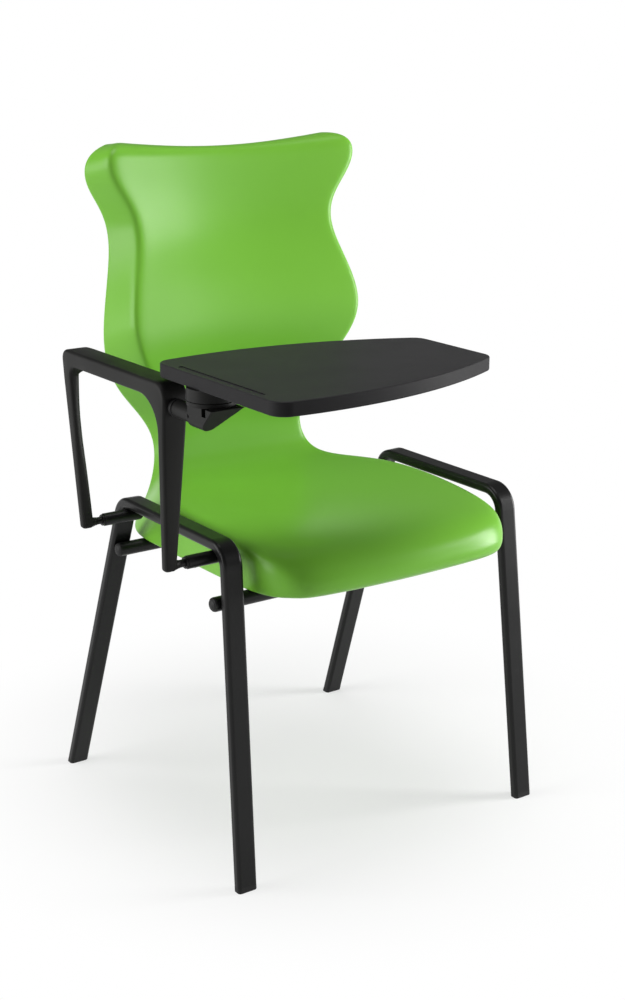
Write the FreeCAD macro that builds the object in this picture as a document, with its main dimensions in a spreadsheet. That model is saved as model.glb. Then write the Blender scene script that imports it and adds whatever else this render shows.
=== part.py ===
import FreeCAD, Part
import math
import os
import Sketcher

# School chair with a moulded seat shell, a bent tube frame, a loop arm on the
# sitter's right and a writing tablet that tips up and swings round.
# Millimetres, Z up, the chair faces -Y, origin on the floor between the feet.

# Driving dimensions: alias, value, what it measures
SIZES = (
    ("tube_width", 30, "side frame tube across the chair"),
    ("tube_depth", 15, "side frame tube along the chair"),
    ("tube_corner", 5, "rounding of the side frame tube"),
    ("tube_wall", 1.5, "wall of the side frame tube"),
    ("rail_half_span", 235, "middle of the chair to a side rail"),
    ("foot_half_span", 247.7, "middle of the chair to a foot"),
    ("rail_height", 472.5, "floor to the middle of a side rail"),
    ("front_foot_reach", 247.5, "origin to the front feet"),
    ("rear_foot_reach", 247.5, "origin to the rear feet"),
    ("front_bend_reach", 200.5, "origin to the front corner of a rail"),
    ("rear_bend_reach", 76, "origin to the rear corner of a rail"),
    ("bend_radius", 30, "middle line radius of the frame bends"),
    ("leg_overrun", 12, "leg length trimmed off below the glide"),
    ("glide_height", 8, "glide below the tube end"),
    ("glide_edge", 1.2, "rounding under a glide"),
    ("glide_plug", 22, "glide inside the tube"),
    ("plug_clearance", 0.05, "plugs to the bore of their tube, all round"),
    ("glide_clearance", 0.4, "glide plugs to the bore of their leg, all round"),
    ("cross_diameter", 20, "cross tubes"),
    ("cross_wall", 1.5, "wall of the cross tubes"),
    ("cross_drop", 76.5, "rail middle down to the cross tube axes"),
    ("front_cross_half", 255, "half length of the front cross tube"),
    ("rear_cross_half", 246, "half length of the rear cross tube"),
    ("cap_dome", 6, "rise of the domed tube caps"),
    ("cap_plug", 12, "cap inside its tube"),
    ("weld_gap", 0.2, "welded tubes to the tube they sit on"),
    ("stub_diameter", 18, "arm stub tubes"),
    ("stub_wall", 2, "wall of the arm stub tubes"),
    ("stub_inset", 6, "inner end of a stub past the rail middle"),
    ("stub_length", 57, "arm stub tubes"),
    ("spigot_depth", 28, "spigot inside its stub"),
    ("spigot_collar", 3, "thickness of the spigot collar"),
    ("turned_edge", 0.6, "bevel on turned and sawn edges"),
    ("spigot_collar_diameter", 16, "spigot collar"),
    ("spigot_neck_diameter", 10.4, "spigot between collar and arm"),
    ("tenon_diameter", 8, "spigot inside the arm foot"),
    ("tenon_length", 8, "spigot inside the arm foot"),
    ("grub_diameter", 6, "set screws"),
    ("grub_length", 2, "set screws that hold the spigots"),
    ("grub_place", 12, "outer end of a stub to its set screw"),
    ("arm_offset", 313, "middle of the chair to the middle of the arm"),
    ("arm_width", 38, "arm across its top"),
    ("arm_rise", 231.5, "rail middle to the top of the arm"),
    ("arm_bar", 22, "depth of the arm's top bar"),
    ("arm_rear", 72, "origin to the back of the arm"),
    ("arm_front", 205, "origin to the front of the arm"),
    ("arm_window_rear", 50, "origin to the back of the arm's opening"),
    ("arm_window_front", 186, "origin to the front of the arm's opening"),
    ("arm_foot_outer", 7, "arm middle to the outside of a foot"),
    ("arm_foot_inner", 10, "arm middle to the inside of a foot"),
    ("arm_foot_half", 7, "half thickness of a foot along the chair"),
    ("arm_foot_drop", 7, "stub axis to the underside of a foot"),
    ("arm_waist", 1.5, "arm middle out to the inside of the rear post where it is set back"),
    ("arm_waist_drop", 70, "top bar down to that place"),
    ("arm_boss", 6, "length of the bosses inside the feet"),
    ("arm_boss_diameter", 13, "bosses at the feet"),
    ("arm_boss_tip", 11, "bosses at their tips"),
    ("arm_corner", 12, "outer rounding at the ends of the top bar"),
    ("arm_front_corner", 42, "opening's rounding at the front post"),
    ("arm_rear_corner", 16, "opening's rounding at the rear post"),
    ("arm_edge", 4, "rounding along the arm's edges"),
    ("pivot_drop", 31.5, "top of the arm down to the tilt axis"),
    ("pivot_seat", 4.5, "depth of the flat seat in the arm's front"),
    ("pivot_seat_diameter", 25, "flat seat in the arm's front"),
    ("shaft_diameter", 12, "tilt shaft"),
    ("shaft_embed", 14, "tilt shaft inside the arm"),
    ("shaft_reach", 50, "tilt shaft out of its seat"),
    ("shaft_groove", 7, "width of the groove that holds the bracket on"),
    ("shaft_groove_diameter", 8, "bottom of that groove"),
    ("shaft_groove_place", 38, "seat to the middle of the groove"),
    ("fit_clearance", 0.05, "shafts in their bores, all round"),
    ("running_gap", 0.3, "turning faces apart"),
    ("thrust_ring", 8, "ring between the arm and the bracket"),
    ("barrel_diameter", 23, "round part of the bracket"),
    ("barrel_length", 41, "round part of the bracket"),
    ("barrel_neck", 2.5, "narrow neck of the barrel at the ring"),
    ("barrel_neck_diameter", 18, "narrow neck of the barrel at the ring"),
    ("keel_radius", 12, "rounded underside of the keel"),
    ("keel_drop", 3, "tilt axis down to the middle of that rounding"),
    ("keel_length", 56, "keel under the turntable"),
    ("keel_underside", 28, "keel along its lowest line"),
    ("slot_width", 9, "square hole in the keel's side"),
    ("slot_height", 10, "square hole in the keel's side"),
    ("slot_depth", 10, "square hole in the keel's side"),
    ("slot_place", 79, "rear face of the bracket to the square hole"),
    ("bracket_edge", 1, "rounding of the keel's edges"),
    ("notch_size", 4, "V notch between barrel and keel"),
    ("swivel_offset", 14, "tilt axis to the swing axis, across"),
    ("swivel_reach", 65, "seat to the swing axis, along"),
    ("disc_rise", 15.5, "tilt axis to the underside of the bracket's disc"),
    ("disc_thickness", 5, "disc on top of the bracket"),
    ("drum_diameter", 62, "turntable drum and the disc under it"),
    ("drum_height", 15.9, "turntable drum"),
    ("slip_ring", 0.4, "slip ring under the drum"),
    ("slip_ring_diameter", 40, "slip ring under the drum"),
    ("bolt_diameter", 8, "swing bolt"),
    ("bolt_head_diameter", 13, "head of the swing bolt"),
    ("bolt_head", 6, "head of the swing bolt"),
    ("bolt_seat", 7, "disc underside down to the bolt head"),
    ("insert_diameter", 14, "threaded insert in the drum"),
    ("insert_height", 13, "threaded insert in the drum"),
    ("tablet_screw_circle", 44, "circle of the tablet screws"),
    ("tablet_screw_diameter", 4, "shank of the tablet screws"),
    ("tablet_screw_head_diameter", 8, "head of the tablet screws"),
    ("tablet_screw_head", 3, "head of the tablet screws"),
    ("tablet_screw_bite", 12, "tablet screws inside the board"),
    ("board_thickness", 18, "tablet board"),
    ("board_overhang", 27, "swing axis to the board's outer edge"),
    ("board_reach", 342, "swing axis to the board's inner edge"),
    ("board_lead", 47.5, "swing axis forward to the board's middle line"),
    ("board_outer_half", 138, "half depth of the board at the arm"),
    ("board_inner_half", 73, "half depth of the board at its far end"),
    ("board_bow", 31, "bow of the board's long edges"),
    ("board_corner", 22, "rounding of the board's corners"),
    ("drum_edge", 0.8, "rounding of the drum's lower edge"),
    ("board_edge", 2, "rounding round the board's faces"),
    ("groove_margin", 7, "board's outer edge to the pen groove"),
    ("groove_width", 7, "pen groove"),
    ("groove_depth", 1.2, "pen groove"),
    ("groove_half", 92, "half length of the pen groove"),
    ("groove_end", 4, "radius of the pen groove's ends"),
    ("shell_wall", 3.5, "wall of the seat shell"),
    ("shell_gap", 0.2, "cross tubes to the shell's underside"),
    ("rim_ease", 2.5, "skins short of the rim, where a narrow strip joins them"),
    ("seat_screw_half", 120, "middle of the chair to the seat screws"),
    ("seat_screw_diameter", 6, "seat screws"),
    ("seat_screw_head_diameter", 12, "head of the seat screws"),
    ("seat_screw_head", 4, "head of the seat screws"),
    ("seat_screw_bite", 14, "seat screws inside the shell"),
    ("seat_insert_diameter", 12, "threaded inserts in the shell"),
    ("seat_insert_height", 18, "threaded inserts in the shell"),
)

# Lines of the moulded shell, from the front lip over the seat and up the back.
# Each station gives the ridge, the rim and the middle of the panel: x is half
# the width, y runs to the rear, rise is measured up from the underside, and
# softness is how far before the ridge its rounding begins.
STATION_FIELDS = ("ridge_x", "ridge_y", "ridge_rise", "rim_x", "rim_y", "rim_rise",
                  "mid_y", "mid_rise", "softness")
STATIONS = (
    ("lip", 150, -266, 0, 170, -250, 0, -276, 0, 44),
    ("lip_front", 167, -281, 10, 189, -240, 0, -293, 10, 46),
    ("roll", 184, -277, 40, 200, -212, 0, -291, 36, 46),
    ("roll_top", 201, -246, 65, 206, -172, 0, -262, 58, 42),
    ("seat_front", 209, -182, 71, 209, -120, 0, -197, 59, 30),
    ("seat_middle", 208, -70, 72, 210, -45, 0, -75, 50, 20),
    ("seat_rear", 200, 30, 72, 210, 50, 0, 25, 48, 16),
    ("bight_front", 174, 98, 68, 212, 128, 2, 105, 52, 16),
    ("bight", 124, 140, 78, 146, 172, 30, 152, 74, 16),
    ("waist", 106, 150, 130, 110, 194, 108, 168, 130, 16),
    ("loin", 142, 130, 200, 180, 192, 195, 144, 200, 16),
    ("lumbar", 220, 86, 300, 224, 168, 286, 106, 300, 16),
    ("neck", 158, 144, 422, 181, 194, 422, 164, 420, 16),
    ("shoulder", 180, 142, 478, 206, 200, 476, 167, 474, 20),
    ("ear", 220, 137, 524, 230, 196, 510, 165, 513, 24),
    ("crest", 206, 140, 562, 224, 190, 532, 165, 548, 26),
    ("top", 172, 180, 558, 194, 190, 556, 187, 545, 22),
)

doc = FreeCAD.newDocument("tablet_chair")
sheet = doc.addObject("Spreadsheet::Sheet", "sizes")


def fill_sheet():
    """Write the driving dimensions and the shell's lines to the sheet."""
    rows = list(SIZES)
    for name, *numbers in STATIONS:
        rows += [(f"{name}_{field}", number, f"shell, {name}, {field}")
                 for field, number in zip(STATION_FIELDS, numbers)]
    for line, (alias, number, note) in enumerate(rows, 1):
        sheet.set(f"A{line}", note)
        sheet.set(f"B{line}", str(number))
        sheet.setAlias(f"B{line}", alias)
    doc.recompute()


fill_sheet()

# Places worked out from the sheet
CROSS_Z = "(sizes.rail_height - sizes.cross_drop)"
ARM_TOP = "(sizes.rail_height + sizes.arm_rise)"
PIVOT_Z = f"({ARM_TOP} - sizes.pivot_drop)"
SPLAY = "atan((sizes.foot_half_span - sizes.rail_half_span) / sizes.rail_height)"
RAIL_UP = f"(sizes.rail_height / cos({SPLAY}))"
FRONT_LEAN = f"atan((sizes.front_foot_reach - sizes.front_bend_reach) / {RAIL_UP})"
REAR_LEAN = f"atan((sizes.rear_foot_reach - sizes.rear_bend_reach) / {RAIL_UP})"
FRONT_TANGENT = f"(sizes.bend_radius * tan((90 deg - {FRONT_LEAN}) / 2))"
REAR_TANGENT = f"(sizes.bend_radius * tan((90 deg - {REAR_LEAN}) / 2))"
CROSS_STAND = "(sizes.tube_depth / 2 + sizes.cross_diameter / 2 + sizes.weld_gap)"
FRONT_CROSS_Y = (f"({CROSS_Z} * tan({FRONT_LEAN}) - sizes.front_foot_reach"
                 f" + {CROSS_STAND} / cos({FRONT_LEAN}))")
REAR_CROSS_Y = (f"(sizes.rear_foot_reach - {CROSS_Z} * tan({REAR_LEAN})"
                f" - {CROSS_STAND} / cos({REAR_LEAN}))")
FRONT_STUB_Y = f"({FRONT_TANGENT} - sizes.front_bend_reach)"
REAR_STUB_Y = f"(sizes.rear_bend_reach - {REAR_TANGENT})"
STUB_Z = "(sizes.rail_height - sizes.tube_depth / 2 - sizes.stub_diameter / 2 - sizes.weld_gap)"
STUB_START = "(sizes.rail_half_span - sizes.stub_inset)"
STUB_END = f"({STUB_START} + sizes.stub_length)"
FOOT_Z = f"({STUB_Z} - sizes.arm_foot_drop)"
SEAT_Y = "(sizes.pivot_seat - sizes.arm_front)"
BRACKET_Y = f"({SEAT_Y} - sizes.thrust_ring - sizes.running_gap)"
SWIVEL_X = "(sizes.swivel_offset - sizes.arm_offset)"
SWIVEL_Y = f"({SEAT_Y} - sizes.swivel_reach)"
DISC_TOP = f"({PIVOT_Z} + sizes.disc_rise + sizes.disc_thickness)"
DRUM_Z = f"({DISC_TOP} + sizes.slip_ring + 2 * sizes.fit_clearance)"
BOARD_Z = f"({DRUM_Z} + sizes.drum_height)"
BOLT_SEAT_Z = f"({PIVOT_Z} + sizes.disc_rise - sizes.bolt_seat)"
GRUB_LOCAL = f"({SEAT_Y} - sizes.shaft_groove_place - {BRACKET_Y})"
HEAD_POCKET = "(sizes.tablet_screw_head + sizes.running_gap)"
SCREW_SPOTS = [(f"sizes.tablet_screw_circle / 2 * cos({turn} deg)",
                f"sizes.tablet_screw_circle / 2 * sin({turn} deg)")
               for turn in (45, 135, 225, 315)]
SHELL_BASE = f"({CROSS_Z} + sizes.cross_diameter / 2 + sizes.shell_gap)"

# Middle of the box round the whole chair, which is where its frame stands
BOARD_CHORD = ("sqrt((sizes.board_reach + sizes.board_overhang) ^ 2"
               " + (sizes.board_outer_half - sizes.board_inner_half) ^ 2)")
BOW_RADIUS = f"((({BOARD_CHORD} / 2) ^ 2 + sizes.board_bow ^ 2) / (2 * sizes.board_bow))"
BOARD_HALF = (f"({BOW_RADIUS} - ({BOW_RADIUS} - sizes.board_bow)"
              f" * (sizes.board_reach + sizes.board_overhang) / {BOARD_CHORD}"
              " + (sizes.board_outer_half + sizes.board_inner_half) / 2)")
MIDDLE_X = (f"((sizes.foot_half_span + sizes.tube_width / 2 / cos({SPLAY})"
            " - sizes.arm_offset - sizes.arm_width / 2) / 2)")
MIDDLE_Y = (f"((sizes.rear_foot_reach + sizes.tube_depth / 2 / cos({REAR_LEAN})"
            f" + {SWIVEL_Y} - sizes.board_lead - {BOARD_HALF}) / 2)")

UPRIGHT = "rotation(vector(0; 0; 1); 0)"
TO_RIGHT = "rotation(vector(0; 1; 0); -90)"
TO_LEFT = "rotation(vector(0; 1; 0); 90)"
TO_FRONT = "rotation(vector(1; 0; 0); 90)"
SIDES = (("right", -1), ("left", 1))
NODES = []
TIGHT = 0.01


def value(expression):
    """Number that an expression over the sheet gives now."""
    result = sheet.evalExpression(expression)
    return float(getattr(result, "Value", result))


def place(item, x, y, z, turn=UPRIGHT):
    """Tie an object's Placement to expressions, measured from the middle of the seat."""
    item.setExpression("Placement", f"placement(vector({x} - {MIDDLE_X}; {y} - {MIDDLE_Y}; {z}); {turn})")


def node(item):
    """Keep an object as one of the chair's named sub-parts."""
    NODES.append(item)
    return item


def new_body(label):
    """Empty body whose label names its file."""
    body = doc.addObject("PartDesign::Body", label)
    body.Label = label
    return body


def new_sketch(body, role, offset=None):
    """Sketch on one of the body's own origin planes, moved along its normal."""
    sketch = body.newObject("Sketcher::SketchObject", f"{body.Name}_sketch")
    plane = [item for item in body.Origin.OriginFeatures if item.Role == role][0]
    sketch.AttachmentSupport = [(plane, "")]
    sketch.MapMode = "FlatFace"
    if offset:
        sketch.setExpression("AttachmentOffset.Base.z", offset)
    return sketch


def tie(sketch, kind, *where_and_expression):
    """Add one constraint whose value follows an expression."""
    *where, expression = where_and_expression
    index = sketch.addConstraint(Sketcher.Constraint(kind, *where, value(expression)))
    sketch.setExpression(f"Constraints[{index}]", expression)


def pin(sketch, item, end, point):
    """Tie a point of the sketch to a pair of expressions."""
    tie(sketch, "DistanceX", -1, 1, item, end, point[0])
    tie(sketch, "DistanceY", -1, 1, item, end, point[1])


def circle(sketch, centre, diameter):
    """Circle tied to the sheet."""
    middle = FreeCAD.Vector(value(centre[0]), value(centre[1]), 0)
    item = sketch.addGeometry(Part.Circle(middle, FreeCAD.Vector(0, 0, 1), value(diameter) / 2))
    pin(sketch, item, 3, centre)
    tie(sketch, "Diameter", item, diameter)


def outline(sketch, points, arcs=None, closed=True):
    """Run of lines and arcs through points that are pairs of expressions.

    arcs maps the number of a stretch to its radius and to the side of its
    centre: 1 to the left of the way round, -1 to the right.
    """
    arcs = arcs or {}
    spots = [FreeCAD.Vector(value(x), value(y), 0) for x, y in points]
    count = len(points) if closed else len(points) - 1
    ends = []
    for k in range(count):
        here, there = spots[k], spots[(k + 1) % len(spots)]
        if k not in arcs:
            item = sketch.addGeometry(Part.LineSegment(here, there))
            ends.append((item, 1, 2))
            continue
        radius, side = arcs[k]
        chord = there - here
        middle = (here + there) / 2
        left = FreeCAD.Vector(-chord.y, chord.x, 0).normalize()
        reach = math.sqrt(max(value(radius) ** 2 - chord.Length ** 2 / 4, 0))
        centre = middle + left * (side * reach)
        crown = centre - left * (side * value(radius))
        start, end = (here, there) if side > 0 else (there, here)
        item = sketch.addGeometry(Part.Arc(start, crown, end))
        ends.append((item, 1, 2) if side > 0 else (item, 2, 1))
    for k, (item, start, end) in enumerate(ends):
        pin(sketch, item, start, points[k])
        if k + 1 < count or closed:
            following, first, last = ends[(k + 1) % count]
            sketch.addConstraint(Sketcher.Constraint("Coincident", item, end, following, first))
        else:
            pin(sketch, item, end, points[k + 1])
        if k in arcs:
            tie(sketch, "Radius", item, arcs[k][0])


def rounded_bar(sketch, width, depth, corner, centre=("0", "0")):
    """Rounded rectangle about a centre."""
    x, y = centre
    wide, deep, tight = f"({width}) / 2", f"({depth}) / 2", f"({corner})"
    points = []
    for sx, sy in ((1, -1), (1, 1), (-1, 1), (-1, -1)):
        along = (f"{x} + {sx} * ({wide})", f"{y} + {sy} * ({deep} - {tight})")
        across = (f"{x} + {sx} * ({wide} - {tight})", f"{y} + {sy} * ({deep})")
        points += [across, along] if sx * sy < 0 else [along, across]
    outline(sketch, points, {k: (corner, 1) for k in (0, 2, 4, 6)})


def pad(body, sketch, length, reverse=False, both=False):
    """Extrude a sketch."""
    feature = body.newObject("PartDesign::Pad", f"{body.Name}_pad")
    feature.Profile = sketch
    feature.setExpression("Length", length)
    feature.Reversed = reverse
    feature.SideType = "Symmetric" if both else "One side"
    return feature


def pocket(body, sketch, length=None, reverse=False, both=False):
    """Cut a sketch out of the body, right through unless a length is given."""
    feature = body.newObject("PartDesign::Pocket", f"{body.Name}_pocket")
    feature.Profile = sketch
    feature.Reversed = reverse
    feature.SideType = "Symmetric" if both else "One side"
    if length:
        feature.setExpression("Length", length)
    else:
        feature.Type = "ThroughAll"
    return feature


def fillet(body, radius, wanted):
    """Round the edges of the body's last feature that a test picks out."""
    doc.recompute()
    base = body.Tip
    names = [f"Edge{k}" for k, edge in enumerate(base.Shape.Edges, 1) if wanted(edge)]
    feature = body.newObject("PartDesign::Fillet", f"{body.Name}_fillet")
    feature.Base = (base, names)
    feature.setExpression("Radius", radius)
    return feature


def turned(label, profile, x, y, z, turn=UPRIGHT):
    """Body turned about its own Z axis from (radius, height) expressions."""
    body = new_body(label)
    sketch = new_sketch(body, "XZ_Plane")
    outline(sketch, profile)
    feature = body.newObject("PartDesign::Revolution", f"{body.Name}_turn")
    feature.Profile = sketch
    feature.ReferenceAxis = (sketch, ["V_Axis"])
    feature.Angle = 360
    place(body, x, y, z, turn)
    return body


def ring_profile(bore, outer, height):
    """Profile of a plain ring or tube from two diameters and a height."""
    return [(f"{bore} / 2", "0"), (f"{outer} / 2", "0"),
            (f"{outer} / 2", height), (f"{bore} / 2", height)]


def bevelled_ring(bore, outer, height):
    """Profile of a ring or tube whose outer edges are bevelled."""
    bevel = "sizes.turned_edge"
    return [(f"{bore} / 2", "0"), (f"{outer} / 2 - {bevel}", "0"), (f"{outer} / 2", bevel),
            (f"{outer} / 2", f"{height} - {bevel}"), (f"{outer} / 2 - {bevel}", height),
            (f"{bore} / 2", height)]


def group(label, items):
    """One node made of several like pieces."""
    bundle = doc.addObject("Part::Compound", label)
    bundle.Label = label
    bundle.Links = items
    return node(bundle)


# Side frames: one flat oval tube each, from foot to foot over the rail
def leg_path(body, sign):
    """Middle line of half a side frame, from the rail's middle to a foot."""
    reach, foot, lean, tangent = {
        -1: ("sizes.front_bend_reach", "sizes.front_foot_reach", FRONT_LEAN, FRONT_TANGENT),
        1: ("sizes.rear_bend_reach", "sizes.rear_foot_reach", REAR_LEAN, REAR_TANGENT),
    }[sign]
    points = [
        ("0", RAIL_UP),
        (f"{sign} * ({reach} - {tangent})", RAIL_UP),
        (f"{sign} * ({reach} + {tangent} * sin({lean}))", f"{RAIL_UP} - {tangent} * cos({lean})"),
        (f"{sign} * ({foot} + sizes.leg_overrun * tan({lean}))", "-sizes.leg_overrun"),
    ]
    sketch = new_sketch(body, "YZ_Plane")
    outline(sketch, points, {1: ("sizes.bend_radius", -sign)}, closed=False)
    return sketch


def side_frame(name, sign, floor):
    """Bent tube of one side, leaning inward and trimmed square to the floor."""
    body = new_body(f"{name}_tube")
    paths = {way: leg_path(body, way) for way in (-1, 1)}
    for kind, less in (("AdditivePipe", "0"), ("SubtractivePipe", "sizes.tube_wall")):
        for way, path in paths.items():
            profile = new_sketch(body, "XZ_Plane")
            profile.MapReversed = way > 0
            rounded_bar(profile, f"sizes.tube_width - 2 * {less}", f"sizes.tube_depth - 2 * {less}",
                        f"sizes.tube_corner - {less}", ("0", RAIL_UP))
            doc.recompute()
            pipe = body.newObject(f"PartDesign::{kind}", f"{name}_pipe")
            pipe.Profile = profile
            pipe.Spine = (path, ["Edge1", "Edge2", "Edge3"])
    place(body, f"{sign} * sizes.foot_half_span", "0", "0", f"rotation(vector(0; 1; 0); {-sign} * {SPLAY})")
    trimmed = doc.addObject("Part::Cut", f"side_frame_{name}")
    trimmed.Label = f"side_frame_{name}"
    trimmed.Base = body
    trimmed.Tool = floor
    return node(trimmed)


def floor_block():
    """Block that trims the legs level above the glides."""
    block = doc.addObject("Part::Box", "floor_block")
    margin = "(2 * sizes.tube_width)"
    block.setExpression("Length", f"2 * (sizes.foot_half_span + {margin})")
    block.setExpression("Width", f"sizes.front_foot_reach + sizes.rear_foot_reach + 2 * {margin}")
    block.setExpression("Height", "sizes.glide_height + 2 * sizes.leg_overrun")
    place(block, f"-sizes.foot_half_span - {margin}", f"-sizes.front_foot_reach - {margin}",
          "-2 * sizes.leg_overrun")
    return block


def foot_glide(end, end_sign, side, side_sign):
    """Plastic glide: a cap as wide as the leg, with a plug up its bore."""
    lean = FRONT_LEAN if end_sign < 0 else REAR_LEAN
    body = new_body(f"glide_{end}_{side}")
    for less, height in (("0", "sizes.glide_height"),
                         ("(sizes.tube_wall + sizes.glide_clearance)",
                          "sizes.glide_height + sizes.glide_plug")):
        sketch = new_sketch(body, "XY_Plane")
        rounded_bar(sketch, f"(sizes.tube_width - 2 * {less}) / cos({SPLAY})",
                    f"(sizes.tube_depth - 2 * {less}) / cos({lean})", f"sizes.tube_corner - {less}")
        feature = pad(body, sketch, height)
        feature.UseCustomVector = True
        feature.AlongSketchNormal = True
        feature.setExpression("Direction",
                              f"vector({-side_sign} * tan({SPLAY}); {-end_sign} * tan({lean}); 1)")
    fillet(body, "sizes.glide_edge", lambda edge: edge.BoundBox.ZMax < TIGHT)
    reach = "sizes.front_foot_reach" if end_sign < 0 else "sizes.rear_foot_reach"
    place(body, f"{side_sign} * sizes.foot_half_span", f"{end_sign} * {reach}", "0")
    return node(body)


# Cross tubes that carry the seat, with domed caps and the seat screws
def cross_tube(end, y):
    """Round tube welded across the insides of the legs, drilled for the seat screws."""
    half = f"sizes.{end}_cross_half"
    bore = "(sizes.cross_diameter - 2 * sizes.cross_wall)"
    body = turned(f"{end}_cross_tube", ring_profile(bore, "sizes.cross_diameter", f"2 * {half}"),
                  f"-{half}", y, CROSS_Z, TO_LEFT)
    sketch = new_sketch(body, "YZ_Plane")
    for sign in (-1, 1):
        circle(sketch, ("0", f"{half} + {sign} * sizes.seat_screw_half"),
               "sizes.seat_screw_diameter + 2 * sizes.running_gap")
    pocket(body, sketch, both=True)
    return node(body)


def tube_cap_profile(bore, outer):
    """Domed cap with a plug, the dome rising along +Z from the tube's end."""
    steps = 4
    dome = [(f"{outer} / 2 * cos({k} * 90 deg / {steps})", f"sizes.cap_dome * sin({k} * 90 deg / {steps})")
            for k in range(steps)]
    plug = f"{bore} / 2 - sizes.plug_clearance"
    plug_sides = [("0", "-sizes.cap_plug"), (plug, "-sizes.cap_plug"), (plug, "0")]
    return plug_sides + dome + [("0", "sizes.cap_dome")]


def cross_caps(end, y):
    """Caps in both ends of a cross tube."""
    profile = tube_cap_profile("(sizes.cross_diameter - 2 * sizes.cross_wall)", "sizes.cross_diameter")
    caps = [turned(f"{end}_cap_{side}", profile, f"{sign} * sizes.{end}_cross_half", y,
                   CROSS_Z, TO_LEFT if sign > 0 else TO_RIGHT) for side, sign in SIDES]
    return group(f"{end}_cross_caps", caps)


def seat_fixings():
    """Screws up through the cross tubes and the threaded inserts they bite in."""
    shank, head = "sizes.seat_screw_diameter / 2", "sizes.seat_screw_head_diameter / 2"
    tip = "(sizes.cross_diameter + 2 * sizes.shell_gap + sizes.seat_screw_bite)"
    screw = [("0", "-sizes.seat_screw_head"), (head, "-sizes.seat_screw_head"), (head, "0"),
             (shank, "0"), (shank, tip), ("0", tip)]
    bore, outer = f"({shank} + sizes.fit_clearance)", "sizes.seat_insert_diameter / 2"
    depth = "(sizes.seat_screw_bite + sizes.shell_wall / 2)"
    insert = [(bore, "0"), (outer, "0"), (outer, "sizes.seat_insert_height"),
              ("0", "sizes.seat_insert_height"), ("0", depth), (bore, depth)]
    screws, inserts = [], []
    for end, y in (("front", FRONT_CROSS_Y), ("rear", REAR_CROSS_Y)):
        for side, sign in SIDES:
            x = f"{sign} * sizes.seat_screw_half"
            under = f"{CROSS_Z} - sizes.cross_diameter / 2 - sizes.shell_gap"
            screws.append(turned(f"seat_screw_{end}_{side}", screw, x, y, under))
            inserts.append(turned(f"seat_insert_{end}_{side}", insert, x, y, SHELL_BASE))
    group("seat_screws", screws)
    group("seat_inserts", inserts)


# Arm: two stubs on the frame, two spigots and the moulded loop
def arm_stub(end, y):
    """Short tube welded under the rail, drilled below for a set screw."""
    bore = "(sizes.stub_diameter - 2 * sizes.stub_wall)"
    body = turned(f"arm_stub_{end}", bevelled_ring(bore, "sizes.stub_diameter", "sizes.stub_length"),
                  f"-{STUB_START}", y, STUB_Z, TO_RIGHT)
    sketch = new_sketch(body, "YZ_Plane")
    circle(sketch, ("0", "sizes.stub_length - sizes.grub_place"),
           "sizes.grub_diameter + 2 * sizes.fit_clearance")
    pocket(body, sketch)
    return node(body)


def stub_fittings():
    """Plugs in the inner ends of the stubs and set screws under their outer ends."""
    bore = "(sizes.stub_diameter - 2 * sizes.stub_wall)"
    plug = tube_cap_profile(bore, "sizes.stub_diameter")
    grub = [("0", "0"), ("sizes.grub_diameter / 2", "0"), ("sizes.grub_diameter / 2", "sizes.grub_length"),
            ("0", "sizes.grub_length")]
    top = f"{STUB_Z} - {bore} / 2 + sizes.plug_clearance"
    plugs, grubs = [], []
    for end, y in (("front", FRONT_STUB_Y), ("rear", REAR_STUB_Y)):
        plugs.append(turned(f"stub_plug_{end}", plug, f"-{STUB_START}", y, STUB_Z, TO_LEFT))
        grubs.append(turned(f"stub_grub_{end}", grub, f"sizes.grub_place - {STUB_END}", y,
                            f"{top} - sizes.grub_length"))
    group("stub_plugs", plugs)
    group("stub_set_screws", grubs)


def arm_spigot(end, y):
    """Turned pin from a stub to the arm's foot, with a collar at the stub's mouth."""
    inner = "(sizes.stub_diameter / 2 - sizes.stub_wall - sizes.plug_clearance)"
    collar, neck, tenon = (f"sizes.{part}_diameter / 2" for part in ("spigot_collar", "spigot_neck", "tenon"))
    foot = f"(sizes.arm_offset - sizes.arm_foot_inner - sizes.arm_boss - {STUB_END})"
    end_of_tenon = f"({foot} + sizes.arm_boss + sizes.tenon_length)"
    profile = [("0", "-sizes.spigot_depth"), (inner, "-sizes.spigot_depth"), (inner, "0"),
               (f"{collar} - sizes.turned_edge", "0"), (collar, "sizes.turned_edge"),
               (collar, "sizes.spigot_collar - sizes.turned_edge"),
               (f"{collar} - sizes.turned_edge", "sizes.spigot_collar"), (neck, "sizes.spigot_collar"),
               (neck, foot), (tenon, foot),
               (tenon, end_of_tenon), ("0", end_of_tenon)]
    return node(turned(f"{end}_spigot", profile, f"-{STUB_END}", y, STUB_Z, TO_RIGHT))


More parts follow.
